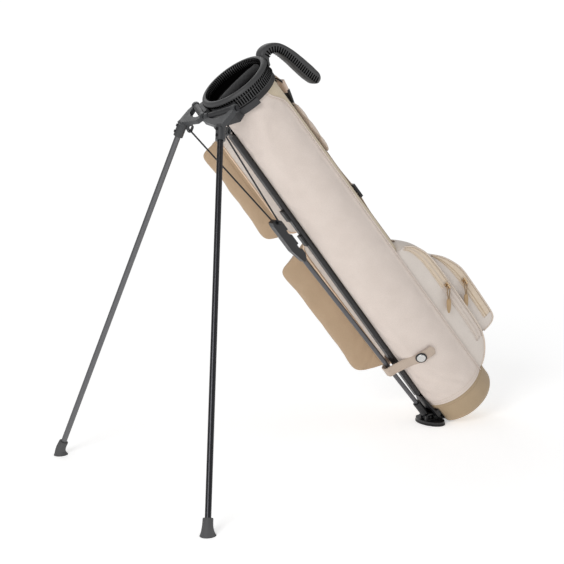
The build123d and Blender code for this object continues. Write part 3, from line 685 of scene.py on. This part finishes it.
def base_boot():
    """Rounded boot round the foot of the tube, notched for the shoe's bracket."""
    turn = np.linspace(0, pi / 2, 12)
    radii = np.concatenate([np.linspace(0.5, BOOT_RADIUS - BOOT_EDGE, 8)[:-1],
                            BOOT_RADIUS - BOOT_EDGE + BOOT_EDGE * np.sin(turn),
                            np.full(7, BOOT_RADIUS - 0.3)])
    heights = np.concatenate([np.zeros(7), BOOT_EDGE - BOOT_EDGE * np.cos(turn),
                              np.linspace(26, HEM_Z + 2, 7)])
    angle = np.radians(np.linspace(0, 360, 97)[:-1])
    ease = 1 + 0.004 * np.sin(3 * angle + 0.6) * np.sin(5 * angle)
    points = np.stack([radii[:, None] * np.cos(angle) * ease, radii[:, None] * np.sin(angle) * ease,
                       np.repeat(heights[:, None], 96, 1)], -1)
    shell = grid("boot_shell", points, BOOT_CLOTH, axis_points(points) * 0 + [0, 0, 40], round_cols=True,
                 capped=True)
    finish_off(shell, 2.4, 0)
    x, half, top = NOTCH["x"], NOTCH["half"], NOTCH["top"]
    corners = [(x[i], y, z) for i in (0, 1) for y in (-half, half) for z in (-15, top)]
    cutter = piece("notch", corners, [(0, 1, 3, 2), (4, 6, 7, 5), (0, 4, 5, 1), (2, 3, 7, 6), (0, 2, 6, 4),
                                      (1, 5, 7, 3)], BOOT_CLOTH)
    cut = shell.modifiers.new("notch", "BOOLEAN")
    cut.object, cut.solver = cutter, "EXACT"
    mesh = bpy.data.meshes.new_from_object(shell.evaluated_get(bpy.context.evaluated_depsgraph_get()))
    boot = bpy.data.objects.new("base_boot", mesh)
    scene.collection.objects.link(boot)
    for spare in (shell, cutter):
        bpy.data.objects.remove(spare)
    mesh.polygons.foreach_set("use_smooth", np.ones(len(mesh.polygons), bool))
    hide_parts("base_cup")
    ring = round_tube(np.linspace(-158, 158, 90), np.full(90, HEM_Z - 5.0), 1.6)
    stitches = repeat("boot_stitches", [(ring, ring * [1, 1, 0])], STITCH_STEP, STITCH, TAN_THREAD)
    for obj in (boot, stitches):
        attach(obj, BODY)


# ------------------------------------------------------------------ pockets
def far_outline_z(y, low, high, slope):
    """Bottom and top of a far pocket where its wall is y from the bag's middle plane."""
    share = (y - 60) / 115
    return low - 4 + (0.6 * slope + 4) * share, high + 1 - (slope + 1) * share


def strip(name, obj, cols, rows, lift, finish, split, thick=0.8):
    """Band that lies on part of a grid piece, in its first finish up to the split row."""
    points = grid_points(obj)
    lines = [surface_line(obj, col=c, lift=lift)[0][rows[0]:rows[1]] for c in np.linspace(*cols, 6)]
    band = np.stack(lines, 1)
    centre = points.reshape(-1, 3).mean(0)
    row = np.repeat(np.arange(len(band) - 1), 5)
    made = grid(name, band, finish, np.broadcast_to(centre, band.shape), choice=row + rows[0] >= split)
    return finish_off(made, thick, 0, offset=0)


def zip_on(label, obj, col, rows, width_cols, edge_col=None, two_tone=False, lift=0.7):
    """Tape, coil and stitches of one zip down a column of a pocket.

    A two-tone tape is cream below its slider.
    """
    sides = (col - width_cols, col + width_cols if edge_col is None else edge_col)
    rest = to_bag(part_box(label + "_slider")[0])[2] + 6
    split = nearest(grid_points(obj)[:, int(col), 2], rest) if two_tone else 0
    tape = strip(label + "_zip_tape", obj, sides, rows, lift, [ZIP_CREAM, ZIP_BAND], split)
    line, out = surface_line(obj, col=col, lift=lift + 0.6)
    line, out = line[rows[0]:rows[1]], out[rows[0]:rows[1]]
    coil = ZIP_CREAM if two_tone else ZIP_TEETH
    teeth = repeat(label + "_zip_teeth", [(line, out)], 1.9, (1.2, 3.0, 0.8), coil)
    edges, sides = (sides[0] + 0.28 * width_cols, sides[1] - 0.28 * width_cols), []
    for edge_at in edges:
        edge, lean = surface_line(obj, col=edge_at, lift=lift + 0.55)
        sides.append((edge[rows[0]:rows[1]], lean[rows[0]:rows[1]]))
    stitches = repeat(label + "_zip_stitches", sides, STITCH_STEP, STITCH, TAN_THREAD)
    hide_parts(label + "_zip")
    for part in (tape, teeth, stitches):
        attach(part, BODY)


def nearest(values, target):
    return int(np.abs(np.asarray(values) - target).argmin())


def sewn_down(label, pocket, cols, thread):
    """Stitches down columns of a pocket, a little short of its ends."""
    seams = [surface_line(pocket, col=col, lift=0.4) for col in cols]
    return repeat(label + "_pocket_stitches", [(line[4:-4], out[4:-4]) for line, out in seams],
                  STITCH_STEP, STITCH, thread)


def far_pocket(label, outline, low, high, slope, piped_at, zip_x, zip_z):
    """Deep side pocket: cream front wall, piped edge, tan gusset and face, sewn to the tube all round."""
    cols, rows = 76, 66
    edge = resampled(outline, cols)
    start, end = atan2(outline[0][1], outline[0][0]), atan2(outline[-1][1], outline[-1][0])
    angle = np.linspace(start, end, cols)
    s = 0.5 - 0.5 * np.cos(np.linspace(0, pi, rows))
    bottom, top = far_outline_z(edge[:, 1], low, high, slope)
    z = bottom + s[:, None] * (top - bottom)
    out = np.clip(1 - np.abs(2 * s - 1) ** 20, 0, 1) ** (1 / 2.4)
    foot = tube_radius(z) - 1.0
    foot = np.stack([foot * np.cos(angle), foot * np.sin(angle)], -1)
    plan = foot + out[:, None, None] * (edge[None] - foot)
    points = np.concatenate([plan, z[..., None]], -1)
    piped = piped_at * (cols - 1)
    column = np.tile(np.arange(cols - 1), rows - 1)
    inside = np.broadcast_to([edge[:, 0].mean() * 0.6, edge[:, 1].mean() * 0.75, (low + high) / 2],
                             points.shape)
    pocket = grid(label + "_pocket_cloth", points, [CREAM_POCKET, TAN_CLOTH], inside,
                  choice=column >= int(piped))
    zip_col = 20 + nearest(points[rows // 2, 20:-12, 0], zip_x)
    held = np.zeros((rows, cols))
    held[:, [0, 1, -1, -2]] = held[[0, 1, -1, -2]] = 1
    held[:, int(piped):int(piped) + 2] = 0.9
    held[:, zip_col - 3:zip_col + 4] = 1
    settle(pocket, held, pressure=1.6, gravity=0.3, slack=0.012, cap=5.0)
    line, lean = surface_line(pocket, col=piped, lift=1.0)
    piping = sweep(label + "_pocket_piping", line[2:-2], circle(1.7), PEACH_PIPING, outs=lean[2:-2])
    corner = nearest(edge[:, 0], edge[:, 0].min())
    stitches = sewn_down(label, pocket, (piped + 2.2, corner + 5.0, cols - 12.0), TAN_THREAD)
    span = grid_points(pocket)[:, zip_col, 2]
    zip_on(label, pocket, zip_col, (nearest(span, zip_z[0]), nearest(span, zip_z[1])), 2.1)
    finish_off(pocket, SKIN)
    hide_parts(label + "_pocket")
    for part in (pocket, piping, stitches):
        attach(part, BODY)


BACK_INNER_EDGE = [(50, 60), (66, 68), (84, 85), (97, 110), (102, 150), (102, 259), (101, 305), (97, 343),
                   (86, 372), (73, 387), (60, 396)]
BACK_OUTER_EDGE = [(108, 106), (130, 105), (143, 109), (149, 122), (150, 165), (150, 204), (149, 245),
                   (142, 272), (129, 300), (113, 322), (107, 328)]


def on_tube_back(y, z):
    """Distance back of the tube's face, a little under the cloth."""
    return np.sqrt(tube_radius(z) ** 2 - y ** 2) - 1.2


def on_inner_face(y, z):
    """Distance back of the inner pocket's face, a little under the cloth."""
    edge = np.array(BACK_INNER_EDGE)
    return np.interp(z, edge[:, 1], edge[:, 0]) + 10.0 * (1 - np.abs(y / 55) ** 2.6) - 2.0


def back_pocket(label, edge, half, foot, crown, behind):
    """Pocket on the back of the bag, as slices from where it is sewn on, over its edge and across."""
    rows, cols = 84, 66
    edge = resampled(edge, rows)
    low, high = edge[0, 1], edge[-1, 1]
    foot_z = np.clip(edge[:, 1], low + 2, high - 2)
    u = np.linspace(-1, 1, cols)
    corner = 0.42
    wall = np.clip((1 - np.abs(u)) / (1 - corner), 0, 1)
    face = np.clip(u / corner, -1, 1)
    y = np.where(np.abs(u) > corner,
                 np.sign(u) * (foot[1] + (half - foot[1]) * np.sin(wall * pi / 2)), half * face)
    middle = 1 - np.abs(face) ** 2.6
    x = foot[0] + wall * (edge[:, :1] - foot[0]) + crown * middle * (np.abs(u) <= corner)
    z = foot_z[:, None] + wall * (edge[:, 1:] - foot_z[:, None])
    points = np.stack([x, np.broadcast_to(y, x.shape), z], -1)
    ends = [np.stack([behind(end[:, 1], end[:, 2]), end[:, 1], end[:, 2] + lift], -1)[None]
            for end, lift in ((points[0], -1.5), (points[-1], 1.5))]
    points = np.concatenate([ends[0], points, ends[1]])
    inside = np.broadcast_to([foot[0] + 8.0, 0.0, (low + high) / 2], points.shape)
    return grid(label + "_pocket_cloth", points, CREAM_POCKET, inside), points, (corner, cols, rows + 2)


def back_pockets():
    """Large and small pocket behind the tube, each with a zip that runs down its near edge."""
    for label, edge, half, foot, crown, zip_in, low_z, behind in (
            ("back_inner", BACK_INNER_EDGE, 55.0, (44.0, 51.0), 10.0, 9.0, 112.0, on_tube_back),
            ("back_outer", BACK_OUTER_EDGE, 43.0, (108.0, 40.0), 3.0, 13.0, 126.0, on_inner_face)):
        pocket, points, (corner, cols, rows) = back_pocket(label, edge, half, foot, crown, behind)
        corner_col = (1 - corner) / 2 * (cols - 1)
        middle = points[rows // 2, :int(corner_col) + 1, 0]
        zip_col = float(np.interp(middle.max() - zip_in, middle, np.arange(len(middle))))
        held = np.zeros((rows, cols))
        held[:, [0, 1, -1, -2]] = held[[0, 1, -1, -2]] = 1
        for col in (zip_col - 1, zip_col, zip_col + 1, corner_col, cols - 1 - corner_col):
            held[:, int(col):int(col) + 2] = 1
        settle(pocket, held, pressure=1.8, gravity=0.3, slack=0.012, cap=5.0)
        span = grid_points(pocket)[:, int(zip_col), 2]
        zip_on(label, pocket, zip_col, (nearest(span, low_z), rows - 3), 3.2, corner_col - 0.4,
               label == "back_inner")
        pipes = []
        for side, col in (("near", corner_col), ("far", cols - 1 - corner_col)):
            line, lean = surface_line(pocket, col=col, lift=0.9)
            pipes.append(sweep(f"{label}_{side}_piping", line[2:-2], circle(1.6), PIPING, outs=lean[2:-2]))
        stitches = sewn_down(label, pocket, (corner_col + 1.6, cols - 2.6 - corner_col), THREAD)
        finish_off(pocket, SKIN)
        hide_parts(label + "_pocket")
        for part in (pocket, stitches, *pipes):
            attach(part, BODY)


def side_pockets():
    far_pocket("far_upper", [(-38, 55), (-96, 103), (-88, 118), (-40, 133), (8, 137), (24, 128), (34, 64)],
               527, 798, 34, 0.12, -16, (552, 738))
    far_pocket("far_lower", [(-38, 60), (-107, 116), (-98, 131), (-44, 148), (10, 152), (28, 142), (36, 68)],
               142, 504, 40, 0.09, -16, (186, 420))


# ------------------------------------------------------------------ zip pulls
PULL_CORD = 1.25            # radius of the cord
PULL_DROP = 56.0            # bridge of the slider to the tab's tip
TAB_TOP = 25.0              # bridge of the slider to the tab's top


def zip_pull(label):
    """Cord loop through the slider's bridge, hanging straight down, with a moulded tab at its end."""
    low, high = (to_bag(corner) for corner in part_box(label + "_pull"))
    joint = JOINTS[label + "_pull_flap"]
    top = to_bag(joint["pos_m"])
    across = unit(np.array(joint["axis"]) @ np.linalg.inv(AXES))
    down = unit(np.array([0, 0, -1.0]) @ np.linalg.inv(AXES))
    out = unit(np.cross(across, [0, 0, 1.0]))
    out = out * (1 if out @ ((low + high) / 2 - [0, 0, top[2]]) > 0 else -1)
    down = unit(down - (down @ out) * out)
    side = np.cross(down, out)
    loop = [(-3.4, 2.0), (-2.9, 12.0), (-1.6, 22.0), (-1.4, 28.0)]
    line = [top + a * side + b * down for a, b in loop]
    line = [top - 3.0 * side - 0.4 * down] + line
    other = [top + (top - p) @ side * side + (p - top) @ down * down for p in line]
    cord = sweep(label + "_pull_cord", resampled(line + other[::-1], 44, True), circle(PULL_CORD, 8),
                 TAN_THREAD, outs=np.broadcast_to(out, (44, 3)), ring=True)
    reach = np.linspace(0, 1, 13)
    width = 1.0 - 0.42 * np.abs(2 * reach - 0.75) ** 2.2
    width[[0, -1]] = 0.35
    tab = sweep(label + "_pull_tab", top + (TAB_TOP + (PULL_DROP - TAB_TOP) * reach[:, None]) * down,
                rounded(5.4, 2.5, 2.6), PULL_RUBBER, outs=np.broadcast_to(out, (13, 3)),
                scale=np.stack([width, width ** 0.6], 1))
    finish_off(tab)
    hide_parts(label + "_pull")
    for part in (cord, tab):
        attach(part, label + "_pull")


# ------------------------------------------------------------------ collar, handle and divider
RIB_COUNT = 84


def collar_ribs():
    """Painted shade in the gaps between the upright ribs, as dark bars outside and inside the ring, and the
    thin ledge below them.

    Each row has its side, radius, height, lean in degrees and the length of its shade bars.
    """
    angle = np.radians(np.linspace(0, 360, 241))
    spoke = np.stack([np.cos(angle), np.sin(angle), np.zeros(241)], 1)
    up = np.array([0, 0, 1.0])
    roll_z = RIM_Z - 7.0
    rows = [("outer", 68.35, 859.5, 0.0, 12.0),
            ("outer", RIM_RADIUS + 6.35, roll_z - 3.0, -25.0, 6.4),
            ("inner", RIM_RADIUS - 6.5, roll_z - 1.5, -5.0, 11.0),
            ("inner", RIM_RADIUS - 5.2, roll_z + 4.7, 42.0, 5.2),
            ("sleeve", 59.4, 857.5, 0.0, 17.0)]
    for number, (label, radius, height, lean, long) in enumerate(rows, 1):
        facing = 1 if label == "outer" else -1
        out = facing * cos(radians(lean)) * spoke + sin(radians(lean)) * up
        pitch = 2 * pi * radius / RIB_COUNT
        # Bars of painted shade; in the sleeve they overlap into one dark band of shade inside the collar.
        slot_shade = repeat(f"collar_slots_{number}", [(radius * spoke + [0, 0, height], out)], pitch * 1.0001,
                       (pitch * (1.02 if label == "sleeve" else 0.56), long, 0.9), SLOT_SHADE, "bar")
        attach(slot_shade, BODY)
    turn = np.radians(np.linspace(0, 360, 97)[:-1])
    spoke = np.stack([np.cos(turn), np.sin(turn), np.zeros(96)], 1)
    ledge = sweep("collar_ledge", 69.0 * spoke + [0, 0, RING_Z + 0.4], circle(0.9, 8), COLLAR,
                  outs=spoke, ring=True)
    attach(ledge, BODY)


HANDLE_LINE = [(71, 850), (72.5, 862), (79, 873), (90, 875), (102, 870), (112, 859), (121, 836), (128, 809),
               (134, 784), (139, 766), (143, 752)]
HANDLE_THICK = [9, 17, 22, 19, 18.5, 21, 25, 28, 29, 26, 15]
HANDLE_HALF_WIDTH = 13.0


def handle():
    """Hook handle: a boxy shoulder at the rim, a grip that swells in its middle and a rounded tip."""
    points = resampled([(x, 0, z) for x, z in HANDLE_LINE], 60)
    run = np.linspace(0, 1, 60)
    knots = np.concatenate([[0], np.cumsum([hypot(b[0] - a[0], b[1] - a[1])
                                            for a, b in zip(HANDLE_LINE, HANDLE_LINE[1:])])])
    thick = np.interp(run, knots / knots[-1], HANDLE_THICK)
    round_tip = np.sqrt(np.clip(1 - ((run - 0.93) / 0.07).clip(0) ** 2, 0.02, 1))
    width = HANDLE_HALF_WIDTH * (0.94 + 0.06 * np.sin(pi * run)) * round_tip
    outs = np.cross(np.gradient(points, axis=0), [0, 1.0, 0])
    outs = outs * np.sign((outs * (points - [100, 0, 800])).sum(1, keepdims=True))
    section = rounded(1, 1, 3.4, 28)
    grip = sweep("handle_grip", points, section, COLLAR, outs=outs,
                 scale=np.stack([width, thick / 2 * round_tip], 1))
    finish_off(grip)
    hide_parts("lift_handle")
    ahead = unit(np.gradient(points, axis=0))
    outs = unit(outs - (outs * ahead).sum(1, keepdims=True) * ahead)
    rows = []
    for side in (-1, 1):
        edge = points - outs * (thick * 0.16)[:, None] + [0, side, 0] * (width * 0.985)[:, None]
        rows.append((edge[8:56], np.broadcast_to([0.0, side, 0.0], edge.shape)[8:56]))
    # Painted shade: dark bars along both sides of the grip, in its openings, where there is only shadow.
    slot_shade = repeat("handle_slot_shade", rows, 5.2, (2.6, 12.0, 1.0), SLOT_SHADE, "bar")
    for part in (grip, slot_shade):
        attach(part, BODY)


def divider():
    """Padded bar across the mouth and the cloth wall that hangs from it."""
    x = np.linspace(-57, 57, 50)
    line = np.stack([x, np.zeros(50), 862 + 1.5 * np.cos(x / 57 * pi / 2)], 1)
    grow = 1 + 0.16 * np.abs(x / 57) ** 4
    bar = sweep("divider_pad", line, rounded(9.6, 8.0, 2.4, 24), MESH_CLOTH,
                outs=np.broadcast_to([0, 0, 1.0], (50, 3)), scale=np.stack([grow, np.ones(50)], 1))
    settle(bar, np.abs(np.repeat(x, 24)) > 52, pressure=2.0, slack=0.01, cap=1.5, steps=10)
    finish_off(bar)
    seams = [(line + [0, side * 7.2, -3.2], np.broadcast_to([0, side, -0.4], (50, 3))) for side in (-1, 1)]
    stitches = repeat("divider_stitches", seams, STITCH_STEP, STITCH, COLLAR)
    x, z = np.meshgrid(np.linspace(-54, 54, 40), np.linspace(560, 856, 60))
    wave = 2.2 * np.sin(x / 17 + z / 90) * (z < 850) * np.cos(x / 54 * pi / 2)
    points = np.stack([x, wave, z], -1)
    wall = grid("divider_wall", points, MESH_CLOTH, points + [0, 5, 0])
    finish_off(wall, 1.0, 0, offset=0)
    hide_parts("divider_bar")
    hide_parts("divider_panel")
    for part in (bar, wall, stitches):
        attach(part, BODY)


# ------------------------------------------------------------------ straps
def ribbon(name, path, half, thick, finish):
    """Webbing along a path of (x, z) points in the bag's middle plane."""
    line = resampled([(x, 0.0, z) for x, z in path], max(12, 6 * len(path)))
    ahead = np.gradient(line, axis=0)
    outs = np.cross(ahead, [0, 1.0, 0])
    strap = sweep(name, line, rounded(half, thick / 2, 5.0, 24), finish, outs=outs)
    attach(strap, BODY)
    return strap


PAD_LOW, PAD_HIGH = 641, 766
PAD_MIDDLE = 703.5
TAIL_LINE = [(398, 2.4), (440, 2.2), (480, 2.2), (515, 4.6), (536, 6.6), (560, 4.4), (600, 2.2), (642, 2.6)]


def shoulder_strap():
    """Webbing loops at the collar, padded part, tail through its buckle and stitched foot."""
    anchor = ribbon("ring_loop", [(63.6, 838.5), (67.0, 837), (71.0, 830), (74.5, 818), (77.5, 807)],
                    9, 1.8, WEBBING)
    line = resampled([(78.0, 0, 812), (75.8, 0, 800), (73.4, 0, 786)], 14)
    top = sweep("strap_top_roll", line, rounded(12, 5.0, 2.8, 24), PEACH_WEBBING,
                outs=np.broadcast_to([1.0, 0, 0.2], (14, 3)))
    line = resampled([(75.4, 0, 792), (73.0, 0, 780), (70.2, 0, 768), (67.8, 0, 758)], 16)
    taper = np.stack([np.linspace(1, 0.9, 16), np.linspace(1.0, 0.55, 16)], 1)
    end_cap = sweep("strap_end_cap", line, rounded(13, 5.6, 2.6, 24), NYLON,
                    outs=np.broadcast_to([1.0, 0, 0.2], (16, 3)), scale=taper)
    finish_off(top)
    finish_off(end_cap)
    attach(top, BODY)
    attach(end_cap, BODY)
    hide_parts("strap_anchor")
    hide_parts("strap_top")
    z = np.linspace(PAD_LOW, PAD_HIGH, 46)
    line = np.stack([tube_radius(z) + 5.2, np.zeros(46), z], 1)
    end = 1 - np.abs((z - PAD_MIDDLE) / 62.6) ** 8 * 0.55
    bulge = 1 + 0.12 * np.sin((z - PAD_LOW) / 125 * 3 * pi) ** 2
    pad = sweep("strap_pad_cloth", line, rounded(24.0, 3.4, 3.0, 40), PAD_CLOTH,
                outs=np.broadcast_to([1, 0, 0.01], (46, 3)), scale=np.stack([end, end * bulge], 1))
    held = np.abs(np.repeat(z, 40) - PAD_MIDDLE) > 60
    settle(pad, held, pressure=3.0, slack=0.01, cap=2.0, steps=12)
    finish_off(pad)
    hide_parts("strap_pad")
    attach(pad, BODY)
    tail = ribbon("strap_tail_webbing", [(float(tube_radius(z)) + lift, z) for z, lift in TAIL_LINE],
                  12.5, 2.0, WEBBING)
    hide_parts("strap_tail")
    wall = float(tube_radius(392))
    foot = ribbon("strap_foot_loop", [(wall + 1.6, 386), (wall + 6.4, 387), (wall + 6.4, 397),
                                      (wall + 1.6, 398)], 14, 1.6, WEBBING)
    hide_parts("strap_foot")
    edge_z = np.linspace(652, 756, 40)
    rows = [(np.stack([tube_radius(edge_z) + 8.4, np.full(40, y), edge_z], 1),
             np.broadcast_to([1.0, 0, 0], (40, 3))) for y in (-17, 17)]
    box = [(404, -9), (404, 9), (424, 9), (424, -9), (404, -9)]
    rows.append((resampled([(float(tube_radius(z)) + 3.7, y, z) for z, y in box], 60),
                 np.broadcast_to([1.0, 0, 0], (60, 3))))
    stitches = repeat("strap_stitches", rows, STITCH_STEP, STITCH, THREAD)
    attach(stitches, BODY)


STRAP_Z = 191.0
STRAP_HALF = 11.0
SNAP_ANGLE = -129
SNAP_RIM = [(0.3, 0), (11.6, 0), (12.0, 0.6), (11.6, 1.8), (10.2, 2.3), (9.2, 1.6), (0.3, 1.3)]
SNAP_CAP = [(0.3, 1.0), (9.0, 1.0), (9.4, 2.0), (8.7, 3.0), (7.3, 3.5), (5.9, 3.1), (4.1, 2.9), (0.3, 2.9)]


def leg_strap():
    """Webbing round the rod and rail, snapped to the near side, its end pointed."""
    reach = float(tube_radius(STRAP_Z)) + 4.4
    path = [(reach * cos(radians(a)), reach * sin(radians(a))) for a in range(-104, -150, -9)]
    path += [(-78, -25), (-92, -13.5), (-102.5, -7.5), (-104, 0), (-102.5, 7.5), (-92, 13.5), (-78, 25)]
    path += [(reach * cos(radians(a)), reach * sin(radians(a))) for a in (146, 138, 130)]
    line = resampled([(x, y, STRAP_Z) for x, y in path], 110)
    outs = np.cross(np.gradient(line, axis=0), [0, 0, 1.0])
    outs = outs * np.sign((outs * (line - [-60, 0, STRAP_Z])).sum(1, keepdims=True))
    along = np.linspace(0, 1, 110)
    point = np.clip(0.12 + along / 0.02 * 0.88, 0, 1)
    strap = sweep("leg_strap_webbing", line, rounded(STRAP_HALF, 1.0, 5.0, 28), WEBBING, outs=outs,
                  scale=np.stack([point, np.ones(110)], 1))
    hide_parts("leg_strap")
    edges = [(line[3:-2] + [0, 0, side * (STRAP_HALF - 1.6)] + 1.2 * unit(outs[3:-2]), outs[3:-2])
             for side in (-1, 1)]
    stitches = repeat("leg_strap_stitches", edges, 3.4, (2.4, 0.6, 0.45), THREAD)
    angle = radians(SNAP_ANGLE)
    out = np.array([cos(angle), sin(angle), 0])
    middle = out * (reach + 1.0) + [0, 0, STRAP_Z]
    rim = turned("snap_rim", SNAP_RIM, middle, out, STEEL)
    cap = turned("snap_cap", SNAP_CAP, middle, out, PLATED)
    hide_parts("strap_snap")
    for part in (rim, cap):
        finish_off(part)
    for part in (strap, stitches, rim, cap):
        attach(part, BODY)


# ------------------------------------------------------------------ feet
FOOT_TALL = 28.0            # middle of the boot's neck above the ground
SKIRT = 0.0145              # radius of the skirt, in metres


def foot(side):
    """Rubber boot on the end of a leg: a plain neck that flares to the ground in a hollow curve."""
    tube = frame["nodes"][side + "_leg_tube"]
    spots = np.array([tube.matrix_world @ vertex.co for vertex in tube.data.vertices])
    middle = (spots.max(0) + spots.min(0)) / 2
    run = np.linalg.svd(spots - spots.mean(0), full_matrices=False)[2][0]
    run = run / run[2]
    low, high = (np.array(corner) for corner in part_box(side + "_foot"))
    ground = np.array([low[0] + SKIRT, low[1] + SKIRT if side == "near" else high[1] - SKIRT, 0.0])
    neck = middle - run * (middle[2] - FOOT_TALL / 1000)
    one = unit(np.cross(unit(run), [0, 1.0, 0.2]))
    two = np.cross(unit(run), one)
    turn = np.radians(np.linspace(0, 360, 41)[:-1])
    spoke = np.cos(turn)[:, None] * one + np.sin(turn)[:, None] * two
    flat = spoke * [1, 1, 0]
    flat = flat / np.linalg.norm(flat, axis=1, keepdims=True)
    share = np.array([0.0, 0.0, 0.04, 0.2, 0.4, 0.55, 0.68, 0.79, 0.88, 0.95, 0.985, 1.0, 1.0])
    radius = 9.2 + 5.2 * np.clip((share - 0.1) / 0.9, 0, 1) ** 2.4
    radius[[0, 1, -1]] = 5.7, 8.8, 13.8
    rings = []
    for s, r in zip(share, radius):
        lean = smooth_step((s - 0.55) / 0.4)
        spokes = spoke + lean * (flat - spoke)
        on_leg = neck - run * FOOT_TALL / 1000 * s
        centre = on_leg + smooth_step(s) * (ground - on_leg) * [1, 1, 0]
        rings.append(centre + r / 1000 * spokes)
    points = np.array(rings)
    points[-1, :, 2] = 0.0
    points[..., 2] = np.maximum(points[..., 2], 0.0)
    points = to_bag(points.reshape(-1, 3)).reshape(points.shape)
    inside = to_bag(ground + [0, 0, 0.012])
    boot = grid(side + "_foot_boot", points[::-1], FOOT_RUBBER, inside, round_cols=True, capped=True)
    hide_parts(side + "_foot")
    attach(boot, side + "_leg")


# ------------------------------------------------------------------ floor, light and camera
FLOOR_HALF = 30
FADE_FROM, FADE_TO = 0.75, 1.7      # metres from the origin, where the floor turns plain white
FLOOR_GLOW = 0.42
SKY_LIGHT, SKY_SEEN = 0.42, 1.05    # strength of the sky as a light, and as the backdrop


def stage():
    """White studio floor and soft light from above and both sides."""
    finish = Finish("White floor")
    place = finish.add("ShaderNodeTexCoord").outputs["Object"]
    away = finish.add("ShaderNodeVectorMath", {0: place}, operation="LENGTH").outputs["Value"]
    fade = finish.add("ShaderNodeMapRange", {"Value": away, "From Min": FADE_FROM,
                                             "From Max": FADE_TO}).outputs["Result"]
    paint = finish.ramp(fade, (0.0, (0.95, 0.95, 0.95, 1)), (1.0, (0, 0, 0, 1)))
    finish.shade(Base_Color=paint, Roughness=0.9, Specular_IOR_Level=0.0, Emission_Color=(1, 1, 1, 1),
                 Emission_Strength=finish.math("MULTIPLY_ADD", fade, 0.6, FLOOR_GLOW))
    mesh = bpy.data.meshes.new("floor")
    half = FLOOR_HALF
    mesh.from_pydata([(-half, -half, 0), (half, -half, 0), (half, half, 0), (-half, half, 0)], [],
                     [(0, 1, 2, 3)])
    mesh.materials.append(finish.material)
    floor = bpy.data.objects.new("floor", mesh)
    scene.collection.objects.link(floor)
    world = bpy.data.worlds.new("Studio")
    scene.world = world
    world.use_nodes = True
    sky = world.node_tree.nodes["Background"]
    sky.inputs["Color"].default_value = (1, 1, 1, 1)
    seen = world.node_tree.nodes.new("ShaderNodeLightPath").outputs["Is Camera Ray"]
    strength = world.node_tree.nodes.new("ShaderNodeMapRange")
    world.node_tree.links.new(seen, strength.inputs["Value"])
    strength.inputs["To Min"].default_value = SKY_LIGHT
    strength.inputs["To Max"].default_value = SKY_SEEN
    world.node_tree.links.new(strength.outputs["Result"], sky.inputs["Strength"])
    for name, place, aim, size, power in (("Key", (-2.9, -1.9, 2.1), (0, 0, 0.4), 1.4, 47),
                                          ("Fill", (2.4, -1.6, 1.6), (0, 0, 0.4), 2.0, 6),
                                          ("Back", (0.6, 2.4, 2.2), (0, 0, 0.4), 1.8, 12)):
        light = bpy.data.lights.new(name, "AREA")
        light.size, light.energy = size, power
        lamp = bpy.data.objects.new(name, light)
        lamp.location = place
        direction = np.array(place) - aim
        back = direction / np.linalg.norm(direction)
        right = np.cross([0, 0, 1.0], back)
        right = right / np.linalg.norm(right)
        turn = np.stack([right, np.cross(back, right), back], 1)
        lamp.rotation_euler = Matrix(turn.tolist()).to_euler()
        scene.collection.objects.link(lamp)
    scene.view_settings.view_transform = "Standard"


AZIMUTH, ELEVATION, ROLL = radians(-32.14), radians(10.51), radians(-2.36)
DISTANCE = 2.851
TARGET = np.array([-0.0624, 0.0, 0.3412])
LENS = 94.4
SHIFT_UP = 2.3 / 564        # of the frame's side


def camera():
    a, e, roll = AZIMUTH, ELEVATION, ROLL
    back = np.array([sin(a) * cos(e), -cos(a) * cos(e), sin(e)])
    right = np.array([cos(a), sin(a), 0])
    up = np.cross(back, right)
    right, up = right * cos(roll) + up * sin(roll), up * cos(roll) - right * sin(roll)
    data = bpy.data.cameras.new("Camera")
    data.lens, data.sensor_width = LENS, 36
    data.shift_y = SHIFT_UP
    eye = bpy.data.objects.new("Camera", data)
    turn = np.eye(4)
    turn[:3, 0], turn[:3, 1], turn[:3, 2], turn[:3, 3] = right, up, back, TARGET + DISTANCE * back
    eye.matrix_world = Matrix(turn.tolist())
    scene.collection.objects.link(eye)
    scene.camera = eye


dress_cad()
tube_cloth()
base_boot()
side_pockets()
back_pockets()
for label in ("back_inner", "back_outer", "far_upper", "far_lower"):
    zip_pull(label)
collar_ribs()
handle()
divider()
shoulder_strap()
leg_strap()
for label in ("near", "far"):
    foot(label)
stage()
camera()
